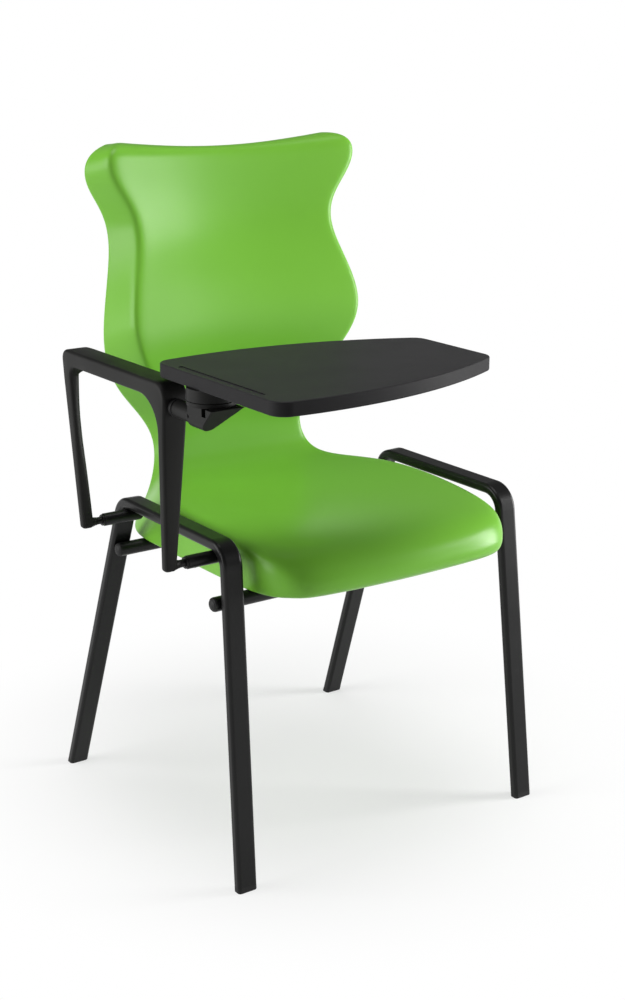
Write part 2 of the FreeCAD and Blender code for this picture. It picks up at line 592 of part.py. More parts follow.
def arm_rest():
    """Moulded arm: a flat top bar on two posts that narrow to their feet."""
    body = new_body("arm_rest")
    under = f"({ARM_TOP} - sizes.arm_bar)"
    side = new_sketch(body, "YZ_Plane")
    outline(side, [
        (f"{REAR_STUB_Y} + sizes.arm_foot_half", FOOT_Z), ("sizes.arm_rear", ARM_TOP),
        ("-sizes.arm_front", ARM_TOP), (f"{FRONT_STUB_Y} - sizes.arm_foot_half", FOOT_Z),
        (f"{FRONT_STUB_Y} + sizes.arm_foot_half", FOOT_Z), ("-sizes.arm_window_front", under),
        ("sizes.arm_window_rear", under), (f"{REAR_STUB_Y} - sizes.arm_foot_half", FOOT_Z),
    ])
    pad(body, side, "sizes.arm_width", both=True)
    half, below = "sizes.arm_width / 2", f"({FOOT_Z} - sizes.arm_bar)"
    waist = ("-sizes.arm_waist", f"{under} - sizes.arm_waist_drop")
    for toward_front, sign, line in (
            (True, -1, [(f"-{half}", under), ("-sizes.arm_foot_outer", FOOT_Z)]),
            (False, -1, [(f"-{half}", under), ("-sizes.arm_foot_outer", FOOT_Z)]),
            (True, 1, [(half, under), ("sizes.arm_foot_inner", FOOT_Z)]),
            (False, 1, [(half, under), waist, ("sizes.arm_foot_inner", FOOT_Z)])):
        taper = new_sketch(body, "XZ_Plane", "(sizes.arm_front - sizes.arm_rear) / 2")
        outline(taper, line + [(line[-1][0], below), (f"{sign} * sizes.arm_width", below),
                               (f"{sign} * sizes.arm_width", line[0][1])])
        pocket(body, taper, reverse=toward_front)

    def crosswise(edge, level):
        """True for an edge straight across the arm at one height."""
        box = edge.BoundBox
        return box.YLength + box.ZLength < TIGHT and abs(box.ZMin - value(level)) < TIGHT

    def lengthwise(edge):
        """True for the edges that run round the loop, short of the rear post's flare."""
        box = edge.BoundBox
        return box.YLength + box.ZLength > value("sizes.arm_edge") and (box.XMax < 0 or box.YMax < 0)

    fillet(body, "sizes.arm_front_corner", lambda edge: crosswise(edge, under) and edge.BoundBox.YMin < 0)
    fillet(body, "sizes.arm_rear_corner", lambda edge: crosswise(edge, under) and edge.BoundBox.YMin > 0)
    fillet(body, "sizes.arm_corner", lambda edge: crosswise(edge, ARM_TOP))
    fillet(body, "sizes.arm_edge", lengthwise)
    for y in (FRONT_STUB_Y, REAR_STUB_Y):
        boss = new_sketch(body, "XY_Plane", STUB_Z)
        tip = "(sizes.arm_foot_inner + sizes.arm_boss)"
        outline(boss, [("0", y), (tip, y), (tip, f"{y} + sizes.arm_boss_tip / 2"),
                       ("sizes.arm_foot_inner", f"{y} + sizes.arm_boss_diameter / 2"),
                       ("0", f"{y} + sizes.arm_boss_diameter / 2")])
        turn = body.newObject("PartDesign::Revolution", "arm_boss")
        turn.Profile = boss
        turn.ReferenceAxis = (boss, ["Edge1"])
        turn.Angle = 360
    seat = new_sketch(body, "XZ_Plane", f"-{SEAT_Y}")
    circle(seat, ("0", PIVOT_Z), "sizes.pivot_seat_diameter")
    pocket(body, seat, reverse=True)
    hole = new_sketch(body, "XZ_Plane", f"-{SEAT_Y} - sizes.shaft_embed")
    circle(hole, ("0", PIVOT_Z), "sizes.shaft_diameter")
    pocket(body, hole, reverse=True)
    tenons = new_sketch(body, "YZ_Plane", "sizes.arm_foot_inner - sizes.tenon_length")
    for y in (FRONT_STUB_Y, REAR_STUB_Y):
        circle(tenons, (y, STUB_Z), "sizes.tenon_diameter")
    pocket(body, tenons, reverse=True)
    place(body, "-sizes.arm_offset", "0", "0")
    return node(body)


# Hinge: a shaft in the arm, the tilting bracket and the turntable under the board
def pivot_pieces():
    """Tilt shaft with its groove, and the thrust ring at the arm."""
    full, waist = "sizes.shaft_diameter / 2", "sizes.shaft_groove_diameter / 2"
    near = "(sizes.shaft_embed + sizes.shaft_groove_place - sizes.shaft_groove / 2)"
    far = f"({near} + sizes.shaft_groove)"
    tip = "(sizes.shaft_embed + sizes.shaft_reach)"
    shaft = [("0", "0"), (full, "0"), (full, near), (waist, near),
             (waist, far), (full, far), (full, tip), ("0", tip)]
    node(turned("pivot_shaft", shaft, "-sizes.arm_offset", f"{SEAT_Y} + sizes.shaft_embed",
                PIVOT_Z, TO_FRONT))
    bore = "(sizes.shaft_diameter + 2 * sizes.fit_clearance)"
    ring = bevelled_ring(bore, "sizes.barrel_diameter", "sizes.thrust_ring")
    node(turned("thrust_ring", ring, "-sizes.arm_offset", SEAT_Y, PIVOT_Z, TO_FRONT))


def tablet_bracket():
    """Tilting bracket: barrel on the shaft, keel with a slanting nose, disc on top."""
    body = new_body("tablet_bracket")
    radius, top, drop = "sizes.keel_radius", "sizes.disc_rise", "sizes.keel_drop"
    left = "-sizes.barrel_diameter / 2"
    keel_x = f"({left} + {radius})"
    turn_off = (f"{keel_x} + {radius} * cos(45 deg)", f"-{drop} - {radius} * sin(45 deg)")
    sole = f"(-{drop} - {radius})"
    swing = ("sizes.swivel_offset", f"{SWIVEL_Y} - {BRACKET_Y}")
    nose = "(sizes.barrel_length + sizes.keel_length)"
    chin = "(sizes.barrel_length + sizes.keel_underside)"

    neck = new_sketch(body, "XZ_Plane")
    circle(neck, ("0", "0"), "sizes.barrel_neck_diameter")
    pad(body, neck, "2 * sizes.barrel_neck")
    barrel = new_sketch(body, "XZ_Plane", "sizes.barrel_neck")
    circle(barrel, ("0", "0"), "sizes.barrel_diameter")
    pad(body, barrel, "sizes.barrel_length - sizes.barrel_neck + sizes.keel_underside / 2")
    keel = new_sketch(body, "XZ_Plane", "sizes.barrel_length")
    outline(keel, [(left, f"-{drop}"), turn_off,
                   (f"{turn_off[0]} + {top} - ({turn_off[1]})", top), (left, top)],
            {0: (radius, 1)})
    pad(body, keel, "sizes.keel_length")
    slant = new_sketch(body, "YZ_Plane")
    outline(slant, [(f"-{nose}", top), (f"-{chin}", sole), (f"-{chin}", f"2 * {sole}"),
                    (f"-2 * {nose}", f"2 * {sole}"), (f"-2 * {nose}", top)])
    pocket(body, slant, both=True)
    front = TIGHT - value(chin)
    fillet(body, "sizes.bracket_edge",
           lambda edge: edge.BoundBox.YMax < front and edge.BoundBox.ZMin < value(top) - TIGHT)

    disc = new_sketch(body, "XY_Plane", top)
    circle(disc, swing, "sizes.drum_diameter")
    pad(body, disc, "sizes.disc_thickness")
    notch = new_sketch(body, "YZ_Plane", left)
    outline(notch, [("-sizes.barrel_length", "-sizes.notch_size"),
                    ("-sizes.barrel_length - sizes.notch_size", "0"),
                    ("-sizes.barrel_length", "sizes.notch_size")])
    pocket(body, notch, "sizes.notch_size", reverse=True)
    slot = new_sketch(body, "YZ_Plane", left)
    near, low = "(sizes.slot_place - sizes.slot_width / 2)", f"({top} - sizes.slot_height)"
    outline(slot, [(f"-{near} - sizes.slot_width", low), (f"-{near}", low), (f"-{near}", top),
                   (f"-{near} - sizes.slot_width", top)])
    pocket(body, slot, "sizes.slot_depth", reverse=True)
    bore = new_sketch(body, "XZ_Plane")
    circle(bore, ("0", "0"), "sizes.shaft_diameter + 2 * sizes.fit_clearance")
    pocket(body, bore, "sizes.shaft_reach - sizes.thrust_ring", reverse=True)
    grub = new_sketch(body, "XY_Plane")
    circle(grub, ("0", GRUB_LOCAL), "sizes.grub_diameter + 2 * sizes.fit_clearance")
    pocket(body, grub)
    shank = new_sketch(body, "XY_Plane")
    circle(shank, swing, "sizes.bolt_diameter + 2 * sizes.fit_clearance")
    pocket(body, shank, both=True)
    counterbore = new_sketch(body, "XY_Plane", f"{top} - sizes.bolt_seat")
    circle(counterbore, swing, "sizes.bolt_head_diameter + 2 * sizes.running_gap")
    pocket(body, counterbore)
    place(body, "-sizes.arm_offset", BRACKET_Y, PIVOT_Z)
    return node(body)


def bracket_grub():
    """Set screw under the barrel whose tip runs in the shaft's groove."""
    tip = f"({PIVOT_Z} - sizes.shaft_groove_diameter / 2 - sizes.running_gap)"
    length = "(sizes.barrel_diameter / 2 - sizes.shaft_groove_diameter / 2 - sizes.running_gap)"
    profile = [("0", f"-{length}"), ("sizes.grub_diameter / 2", f"-{length}"),
               ("sizes.grub_diameter / 2", "0"), ("0", "0")]
    return node(turned("bracket_set_screw", profile, "-sizes.arm_offset",
                       f"{SEAT_Y} - sizes.shaft_groove_place", tip))


def swivel_pieces():
    """Turntable: slip ring, drum with its insert, and the bolt from below."""
    bolt_bore = "(sizes.bolt_diameter + 2 * sizes.fit_clearance)"
    ring = ring_profile(bolt_bore, "sizes.slip_ring_diameter", "sizes.slip_ring")
    node(turned("slip_ring", ring, SWIVEL_X, SWIVEL_Y, f"{DISC_TOP} + sizes.fit_clearance"))

    hole = "(sizes.insert_diameter + 2 * sizes.plug_clearance)"
    drum = turned("swivel_drum", ring_profile(hole, "sizes.drum_diameter", "sizes.drum_height"),
                  SWIVEL_X, SWIVEL_Y, DRUM_Z)
    fillet(drum, "sizes.drum_edge",
           lambda edge: edge.BoundBox.ZMax < TIGHT and edge.BoundBox.XLength > value(hole) + TIGHT)
    for diameter, depth in (("sizes.tablet_screw_diameter + 2 * sizes.fit_clearance", None),
                            ("sizes.tablet_screw_head_diameter + 2 * sizes.running_gap", HEAD_POCKET)):
        holes = new_sketch(drum, "XY_Plane")
        for spot in SCREW_SPOTS:
            circle(holes, spot, diameter)
        pocket(drum, holes, depth, reverse=True)
    node(drum)

    insert = ring_profile(bolt_bore, "sizes.insert_diameter", "sizes.insert_height")
    node(turned("swivel_insert", insert, SWIVEL_X, SWIVEL_Y, DRUM_Z))
    shank, head = "sizes.bolt_diameter / 2", "sizes.bolt_head_diameter / 2"
    reach = f"({DRUM_Z} + sizes.insert_height - {BOLT_SEAT_Z})"
    bolt = [("0", "-sizes.bolt_head"), (head, "-sizes.bolt_head"), (head, "0"),
            (shank, "0"), (shank, reach), ("0", reach)]
    node(turned("swivel_bolt", bolt, SWIVEL_X, SWIVEL_Y, f"{BOLT_SEAT_Z} - sizes.fit_clearance"))

    bite = "(sizes.drum_height - sizes.tablet_screw_head - sizes.running_gap + sizes.tablet_screw_bite)"
    thin, wide = "sizes.tablet_screw_diameter / 2", "sizes.tablet_screw_head_diameter / 2"
    screw = [("0", "-sizes.tablet_screw_head"), (wide, "-sizes.tablet_screw_head"), (wide, "0"), (thin, "0"),
             (thin, bite), ("0", bite)]
    group("tablet_screws", [turned(f"tablet_screw_{k}", screw, f"{SWIVEL_X} + {x}", f"{SWIVEL_Y} + {y}",
                                   f"{DRUM_Z} + {HEAD_POCKET}") for k, (x, y) in enumerate(SCREW_SPOTS, 1)])


def tablet_board():
    """Writing board: bowed long edges, round corners, a pen groove by the arm."""
    body = new_body("tablet_board")
    outer, inner, middle = "-sizes.board_overhang", "sizes.board_reach", "-sizes.board_lead"
    shape = new_sketch(body, "XY_Plane")
    outline(shape, [(outer, f"{middle} - sizes.board_outer_half"),
                    (inner, f"{middle} - sizes.board_inner_half"),
                    (inner, f"{middle} + sizes.board_inner_half"),
                    (outer, f"{middle} + sizes.board_outer_half")],
            {0: (BOW_RADIUS, 1), 2: (BOW_RADIUS, 1)})
    pad(body, shape, "sizes.board_thickness")
    fillet(body, "sizes.board_corner", lambda edge: edge.BoundBox.ZLength > 1)
    fillet(body, "sizes.board_edge", lambda edge: edge.BoundBox.ZLength < 0.01)
    groove = new_sketch(body, "XY_Plane", "sizes.board_thickness")
    near = f"({outer} + sizes.groove_margin)"
    far = f"({near} + sizes.groove_width)"
    tail, tip = f"({middle} - sizes.groove_half)", f"({middle} + sizes.groove_half)"
    outline(groove, [(near, tail), (far, tail), (far, tip), (near, tip)],
            {0: ("sizes.groove_end", 1), 2: ("sizes.groove_end", 1)})
    pocket(body, groove, "sizes.groove_depth")
    screws = new_sketch(body, "XY_Plane")
    for spot in SCREW_SPOTS:
        circle(screws, spot, "sizes.tablet_screw_diameter + 2 * sizes.fit_clearance")
    pocket(body, screws, "sizes.tablet_screw_bite + sizes.running_gap", reverse=True)
    place(body, SWIVEL_X, SWIVEL_Y, BOARD_Z)
    return node(body)


# Seat shell: one hollow moulding, skinned over its stations
DEGREE = 3
PANEL_STEPS = (0, 0.4)
FLANK_STEP = 0.6
REAR_STEPS = (0, 0.3, 0.55, 0.75, 0.86, 0.93, 1)


def blend(start, end, share):
    """Point part of the way from start to end."""
    return start + (end - start) * share


def half_sections(name, base):
    """Poles of one station from the middle to the rim, sitting side and rear side."""
    lines = {field: value(f"sizes.{name}_{field}") for field in STATION_FIELDS}
    ridge = FreeCAD.Vector(lines["ridge_x"], lines["ridge_y"], base + lines["ridge_rise"])
    rim = FreeCAD.Vector(lines["rim_x"], lines["rim_y"], base + lines["rim_rise"])
    middle = FreeCAD.Vector(0, lines["mid_y"], base + lines["mid_rise"])
    softness = lines["softness"]
    sitting = []
    for share in PANEL_STEPS + (1 - softness / ridge.x,):
        spot = blend(middle, ridge, share ** 2)
        spot.x = ridge.x * share
        sitting.append(spot)
    near = min(softness / (rim - ridge).Length, FLANK_STEP / 2)
    sitting += [ridge, blend(ridge, rim, near), blend(ridge, rim, FLANK_STEP), rim]
    rear = [FreeCAD.Vector(rim.x * share, rim.y, rim.z) for share in REAR_STEPS]
    return sitting, rear


def mirrored(half):
    """Full row of poles from the right rim to the left rim."""
    return [FreeCAD.Vector(-spot.x, spot.y, spot.z) for spot in reversed(half[1:])] + half


def shell_nets():
    """Pole nets of the sitting side and the rear side, which share their borders."""
    base = value(SHELL_BASE)
    sitting, rear = [], []
    for station in STATIONS:
        front_half, rear_half = half_sections(station[0], base)
        sitting.append(mirrored(front_half))
        rear.append(mirrored(rear_half))
    rear[0], rear[-1] = sitting[0], sitting[-1]
    return sitting, rear


def outward(net, i, j):
    """Unit normal of a net at one pole, out of the sitting side."""
    up = net[min(i + 1, len(net) - 1)][j] - net[max(i - 1, 0)][j]
    across = net[i][min(j + 1, len(net[i]) - 1)] - net[i][max(j - 1, 0)]
    return across.cross(up).normalize()


def inset_nets(sitting, rear, wall):
    """Both nets moved into the body by the wall, still sharing their borders."""
    rows, columns = len(sitting), len(sitting[0])
    inner_sitting, inner_rear = [], []
    for i in range(rows):
        inner_sitting.append([])
        inner_rear.append([])
        for j in range(columns):
            near_i, near_j = i, j
            if i in (0, rows - 1) and j in (0, columns - 1):
                near_i, near_j = min(max(i, 1), rows - 2), min(max(j, 1), columns - 2)
            front_way, rear_way = -outward(sitting, near_i, near_j), outward(rear, near_i, near_j)
            if i in (0, rows - 1) or j in (0, columns - 1):
                both = front_way + rear_way
                front_way = rear_way = both * (2 / both.dot(both))
            inner_sitting[i].append(sitting[i][j] + front_way * wall)
            inner_rear[i].append(rear[i][j] + rear_way * wall)
    return inner_sitting, inner_rear


def eased(net):
    """The net with its border poles drawn in by the easing of the rim."""
    rows, columns = len(net), len(net[0])
    drawn = []
    for i in range(rows):
        drawn.append(list(net[i]))
        for j in range(columns):
            inner = net[min(max(i, 1), rows - 2)][min(max(j, 1), columns - 2)]
            if inner != net[i][j]:
                drawn[i][j] = net[i][j] + (inner - net[i][j]).normalize() * value("sizes.rim_ease")
    return drawn


def knot_rule(poles):
    """Repeats and values of the knots of a clamped cubic over a row of poles."""
    spans = len(poles) - DEGREE
    return [DEGREE + 1] + [1] * (spans - 1) + [DEGREE + 1], list(range(spans + 1))


def skin(net):
    """Cubic surface over a net of poles."""
    (up_counts, up_knots), (side_counts, side_knots) = knot_rule(net), knot_rule(net[0])
    surface = Part.BSplineSurface()
    surface.buildFromPolesMultsKnots(net, up_counts, side_counts, up_knots, side_knots,
                                     False, False, DEGREE, DEGREE)
    return surface.toShape()


def border(net):
    """The four border curves of a net's surface."""
    edges = []
    for poles in (net[0], net[-1], [row[0] for row in net], [row[-1] for row in net]):
        counts, knots = knot_rule(poles)
        curve = Part.BSplineCurve()
        curve.buildFromPolesMultsKnots(poles, counts, knots, False, DEGREE)
        edges.append(curve.toShape())
    return edges


def closed_body(sitting, rear):
    """Solid between the two skins, with an eased rim."""
    sitting, rear = eased(sitting), eased(rear)
    strips = [Part.makeRuledSurface(near, far) for near, far in zip(border(sitting), border(rear))]
    skins = Part.Compound([skin(sitting), skin(rear)] + strips)
    skins.sewShape()
    solid = Part.Solid(Part.Shell(skins.Faces))
    if solid.Volume < 0:
        solid.reverse()
    return solid


def seat_shell():
    """Hollow seat and back in one, with holes under the seat for the inserts."""
    sitting, rear = shell_nets()
    wall = value("sizes.shell_wall")
    shape = closed_body(sitting, rear).cut(closed_body(*inset_nets(sitting, rear, wall)))
    base, radius = value(SHELL_BASE), value("sizes.seat_insert_diameter / 2 + sizes.plug_clearance")
    for y in (FRONT_CROSS_Y, REAR_CROSS_Y):
        for sign in (1, -1):
            foot = FreeCAD.Vector(sign * value("sizes.seat_screw_half"), value(y), base - wall)
            shape = shape.cut(Part.makeCylinder(radius, 3 * wall, foot))
    moulding = doc.addObject("Part::Feature", "seat_shell")
    moulding.Label = "seat_shell"
    moulding.Shape = shape
    place(moulding, "0", "0", "0")
    return node(moulding)


trim = floor_block()
for side_name, side_sign in SIDES:
    side_frame(side_name, side_sign, trim)
    foot_glide("front", -1, side_name, side_sign)
    foot_glide("rear", 1, side_name, side_sign)
for end_name, cross_y in (("front", FRONT_CROSS_Y), ("rear", REAR_CROSS_Y)):
    cross_tube(end_name, cross_y)
    cross_caps(end_name, cross_y)
seat_fixings()
for end_name, stub_y in (("front", FRONT_STUB_Y), ("rear", REAR_STUB_Y)):
    arm_stub(end_name, stub_y)
    arm_spigot(end_name, stub_y)
stub_fittings()
arm_rest()
pivot_pieces()
tablet_bracket()
bracket_grub()
swivel_pieces()
tablet_board()
seat_shell()


def check_and_export():
    """Refuse a failed object or an unsound shape, then write one file per node."""
    doc.recompute()
    failed = [item.Label for item in doc.Objects if {"Invalid", "Error"} & set(item.State)]
    unsound = [item.Label for item in NODES if item.Shape.isNull() or not item.Shape.isValid()]
    if failed or unsound:
        raise RuntimeError(f"failed: {failed} unsound: {unsound}")
    os.makedirs("parts", exist_ok=True)
    for item in NODES:
        item.Shape.exportStep(f"parts/{item.Label}.step")
        print(item.Label, len(item.Shape.Solids), "solids", round(item.Shape.Volume / 1000, 2), "cm3")


check_and_export()
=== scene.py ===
import logging
import math
from collections.abc import Sequence
from dataclasses import dataclass
from enum import Enum

import bpy
import numpy as np
from bpy.types import Material, NodeSocket, NodeTree
from mathutils import Matrix, Vector


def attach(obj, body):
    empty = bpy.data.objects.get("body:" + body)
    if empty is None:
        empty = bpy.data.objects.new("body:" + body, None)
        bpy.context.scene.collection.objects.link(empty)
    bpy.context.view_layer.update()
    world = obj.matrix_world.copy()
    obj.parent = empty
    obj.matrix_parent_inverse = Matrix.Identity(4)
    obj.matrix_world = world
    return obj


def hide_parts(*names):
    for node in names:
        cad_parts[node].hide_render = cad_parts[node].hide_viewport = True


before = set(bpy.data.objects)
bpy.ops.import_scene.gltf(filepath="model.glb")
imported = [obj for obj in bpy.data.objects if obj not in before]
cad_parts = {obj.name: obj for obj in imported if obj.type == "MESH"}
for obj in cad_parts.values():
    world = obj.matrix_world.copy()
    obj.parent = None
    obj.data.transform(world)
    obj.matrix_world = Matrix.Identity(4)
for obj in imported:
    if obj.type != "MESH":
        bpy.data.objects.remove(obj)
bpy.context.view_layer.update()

Pair = tuple[float, float]
Triple = tuple[float, float, float]
Face = tuple[int, ...]

MM_PER_METRE = 1000.0
MIDDLE = (34.647, 101.185, 0.0)  # floor under the middle of the seat, in millimetres
log = logging.getLogger("tablet_chair")


class Part(Enum):
    """Rigid bodies of the chair that new pieces ride on."""

    CHAIR = "chair"


class Slot(Enum):
    """Material slots of the record."""

    SHELL = "shell"
    ARM = "arm"


class Relief(Enum):
    """Kinds of fine surface relief."""

    SATIN = "satin"
    ORANGE_PEEL = "orange peel"
    PEBBLE = "pebble"
    TURNED = "turned"


class Sum(Enum):
    """What a node reckons out of its numbers."""

    SIZE = "ABSOLUTE"
    GREATEST = "MAXIMUM"
    PRODUCT = "MULTIPLY"
    PRODUCT_AND_MORE = "MULTIPLY_ADD"


class Fade(Enum):
    """Ways in which one span of numbers is carried over to another."""

    EVEN = "LINEAR"
    SMOOTH = "SMOOTHSTEP"


class Reading(Enum):
    """Coordinates that a node tree can read."""

    PLACE = "Object"
    FACING = "Normal"
    RAY = "Generated"


# Nodes
def add_sum(tree: NodeTree, kind: Sum, *terms: NodeSocket | float) -> NodeSocket:
    """Add a node that reckons with numbers.

    Args:
        tree: Node tree to add to.
        kind: What it reckons.
        terms: Sockets to read, or plain numbers.

    Returns:
        The result.
    """
    node = tree.nodes.new("ShaderNodeMath")
    node.operation = kind.value
    for socket, term in zip(node.inputs, terms):
        if isinstance(term, NodeSocket):
            tree.links.new(term, socket)
        else:
            socket.default_value = term
    return node.outputs["Value"]


def add_range(tree: NodeTree, number: NodeSocket, span: Pair, result: Pair,
              fade: Fade = Fade.EVEN) -> NodeSocket:
    """Add a node that carries one span of numbers over to another.

    Args:
        tree: Node tree to add to.
        number: Number to read.
        span: Numbers between which it changes.
        result: What they become.
        fade: How it goes from one to the other.

    Returns:
        The result.
    """
    node = tree.nodes.new("ShaderNodeMapRange")
    node.interpolation_type = fade.value
    for socket, bound in zip(("From Min", "From Max", "To Min", "To Max"), (*span, *result)):
        node.inputs[socket].default_value = bound
    tree.links.new(number, node.inputs["Value"])
    return node.outputs["Result"]


def add_blend(tree: NodeTree, share: NodeSocket, first: NodeSocket, second: NodeSocket,
              end: str) -> None:
    """Mix two shaders and join them to the end of the tree.

    Args:
        tree: Node tree to add to.
        share: Share of the second shader.
        first: First shader.
        second: Second shader.
        end: Name of the tree's output node.
    """
    blend = tree.nodes.new("ShaderNodeMixShader")
    tree.links.new(share, blend.inputs["Fac"])
    tree.links.new(first, blend.inputs[1])
    tree.links.new(second, blend.inputs[2])
    tree.links.new(blend.outputs["Shader"], tree.nodes[end].inputs["Surface"])


def add_reading(tree: NodeTree, kind: Reading) -> NodeSocket:
    """Add a node that reads one kind of coordinates, and return them."""
    return tree.nodes.new("ShaderNodeTexCoord").outputs[kind.value]


def add_rise(tree: NodeTree, kind: Reading) -> NodeSocket:
    """Add nodes that read the upright share of one kind of coordinates.

    Args:
        tree: Node tree to add to.
        kind: What is read.

    Returns:
        The third number of it.
    """
    parts = tree.nodes.new("ShaderNodeSeparateXYZ")
    tree.links.new(add_reading(tree, kind), parts.inputs["Vector"])
    return parts.outputs["Z"]


# Finishes
TONE_SPAN = (0.32, 0.72)  # noise between which the tone drifts
TONE_DETAIL = 3.0
WEAR_SPAN = (0.35, 0.95)  # noise and relief between which the roughness spreads
WEAR_SCALE = 3.0  # noise of the roughness, against that of the tone
WEAR_DETAIL = 5.0
RELIEF_SHARE = 0.3  # what the relief adds to the roughness
# span over which the painted shade of upright faces fades out towards level faces
LEVEL_SPAN = (0.4, 0.9)  # upright share of a normal, from upright faces to level ones
SATIN_DETAIL = 4.0
TURNED_DETAIL = 2.0
TURNED_STRETCH = (1.0, 1.0, 9.0)
CELL_SMOOTHNESS: dict[Relief, float] = {Relief.ORANGE_PEEL: 1.0, Relief.PEBBLE: 0.35}


@dataclass(frozen=True)
class Finish:
    """One finish: two close tones, a spread of roughness and a fine relief.

    Sizes of the relief are in features per metre and metres of height. Upright
    faces can get painted shade: their tone as a share of the tone of level ones.
    """

    name: str
    tone: Triple
    second_tone: Triple
    roughness: Pair
    relief: Relief
    relief_scale: float
    relief_height: float
    drift_scale: float = 7.0
    metallic: float = 0.0
    specular: float = 0.5
    # painted shade of upright faces, as a share of the level faces' tone; 1 paints none
    upright_shade_share: float = 1.0

    def material(self) -> Material:
        """Make the node material, or fetch it where it is already made.

        Returns:
            The material of this finish.
        """
        made = bpy.data.materials.get(self.name)
        if made:
            return made
        made = bpy.data.materials.new(self.name)
        made.use_nodes = True
        made.diffuse_color = (*self.tone, 1.0)
        tree = made.node_tree
        shader = tree.nodes["Principled BSDF"]
        shader.inputs["Metallic"].default_value = self.metallic
        shader.inputs["Specular IOR Level"].default_value = self.specular
        place = add_reading(tree, Reading.PLACE)
        tree.links.new(self._colour(tree, place), shader.inputs["Base Color"])
        height = self._height(tree, place)
        tree.links.new(self._roughness(tree, place, height), shader.inputs["Roughness"])
        bump = tree.nodes.new("ShaderNodeBump")
        bump.inputs["Distance"].default_value = self.relief_height
        tree.links.new(height, bump.inputs["Height"])
        tree.links.new(bump.outputs["Normal"], shader.inputs["Normal"])
        return made

    @staticmethod
    def _noise(tree: NodeTree, place: NodeSocket, scale: float, detail: float) -> NodeSocket:
        """Add a noise texture.

        Args:
            tree: Node tree of the material.
            place: Coordinates to read.
            scale: Features per metre.
            detail: Octaves of finer noise.

        Returns:
            The noise value.
        """
        noise = tree.nodes.new("ShaderNodeTexNoise")
        noise.inputs["Scale"].default_value = scale
        noise.inputs["Detail"].default_value = detail
        tree.links.new(place, noise.inputs["Vector"])
        return noise.outputs["Fac"]

    def _colour(self, tree: NodeTree, place: NodeSocket) -> NodeSocket:
        """Drift slowly between the two tones.

        Args:
            tree: Node tree of the material.
            place: Coordinates to read.

        Returns:
            The colour.
        """
        ramp = tree.nodes.new("ShaderNodeValToRGB")
        for stop, position, tone in zip(ramp.color_ramp.elements, TONE_SPAN,
                                        (self.tone, self.second_tone)):
            stop.position = position
            stop.color = (*tone, 1.0)
        drift = self._noise(tree, place, self.drift_scale, TONE_DETAIL)
        tree.links.new(drift, ramp.inputs["Fac"])
        tint = ramp.outputs["Color"]
        # upright faces get painted shade where their share is below 1
        return self._painted_upright_shade(tree, tint) if self.upright_shade_share < 1.0 else tint

    def _painted_upright_shade(self, tree: NodeTree, tint: NodeSocket) -> NodeSocket:
        """Paint shade on the upright faces, darkening them against the level ones.

        Args:
            tree: Node tree of the material.
            tint: Colour of the level faces.

        Returns:
            The colour.
        """
        level = add_sum(tree, Sum.SIZE, add_rise(tree, Reading.FACING))
        share = add_range(tree, level, LEVEL_SPAN, (self.upright_shade_share, 1.0))
        shade = tree.nodes.new("ShaderNodeVectorMath")
        shade.operation = "SCALE"
        tree.links.new(tint, shade.inputs[0])
        tree.links.new(share, shade.inputs["Scale"])
        return shade.outputs["Vector"]

    def _height(self, tree: NodeTree, place: NodeSocket) -> NodeSocket:
        """Add the relief's texture.

        Args:
            tree: Node tree of the material.
            place: Coordinates to read.

        Returns:
            The height, from 0 to 1.
        """
        if self.relief is Relief.SATIN:
            return self._noise(tree, place, self.relief_scale, SATIN_DETAIL)
        if self.relief is Relief.TURNED:
            stretch = tree.nodes.new("ShaderNodeMapping")
            stretch.inputs["Scale"].default_value = TURNED_STRETCH
            tree.links.new(place, stretch.inputs["Vector"])
            return self._noise(tree, stretch.outputs["Vector"], self.relief_scale, TURNED_DETAIL)
        cells = tree.nodes.new("ShaderNodeTexVoronoi")
        cells.feature = "SMOOTH_F1"
        cells.inputs["Scale"].default_value = self.relief_scale
        cells.inputs["Smoothness"].default_value = CELL_SMOOTHNESS[self.relief]
        tree.links.new(place, cells.inputs["Vector"])
        return cells.outputs["Distance"]

    def _roughness(self, tree: NodeTree, place: NodeSocket, height: NodeSocket) -> NodeSocket:
        """Vary the roughness with handling and with the relief.

        Args:
            tree: Node tree of the material.
            place: Coordinates to read.
            height: Height of the relief.

        Returns:
            The roughness.
        """
        wear = self._noise(tree, place, self.drift_scale * WEAR_SCALE, WEAR_DETAIL)
        both = add_sum(tree, Sum.PRODUCT_AND_MORE, height, RELIEF_SHARE, wear)
        return add_range(tree, both, WEAR_SPAN, self.roughness)


GREEN_SHELL = Finish(
    "green_moulding", tone=(0.158, 0.425, 0.038), second_tone=(0.168, 0.443, 0.042),
    roughness=(0.28, 0.34), relief=Relief.SATIN, relief_scale=1400.0, relief_height=0.00003,
    drift_scale=3.0, specular=0.22)
BLACK_COAT = Finish(
    "black_powder_coat", tone=(0.0075, 0.0075, 0.0075), second_tone=(0.0105, 0.0105, 0.0105),
    roughness=(0.28, 0.36), relief=Relief.ORANGE_PEEL, relief_scale=420.0,
    relief_height=0.000004, specular=0.20)
BLACK_MOULDING = Finish(
    "black_moulding", tone=(0.010, 0.010, 0.0095), second_tone=(0.014, 0.014, 0.0132),
    roughness=(0.42, 0.50), relief=Relief.SATIN, relief_scale=1600.0, relief_height=0.000004,
    specular=0.11)
BLACK_TRIM = Finish(
    "black_trim", tone=(0.010, 0.010, 0.010), second_tone=(0.014, 0.014, 0.014),
    roughness=(0.45, 0.60), relief=Relief.SATIN, relief_scale=2200.0, relief_height=0.00004,
    specular=0.22)
# The tablet's upright faces get painted shade, at 0.55 of the top's tone.
TABLET_TOP = Finish(
    "charcoal_tablet", tone=(0.0330, 0.0322, 0.0338), second_tone=(0.0355, 0.0347, 0.0362),
    roughness=(0.48, 0.53), relief=Relief.PEBBLE, relief_scale=1500.0, relief_height=0.00004,
    drift_scale=5.0, specular=0.06, upright_shade_share=0.55)
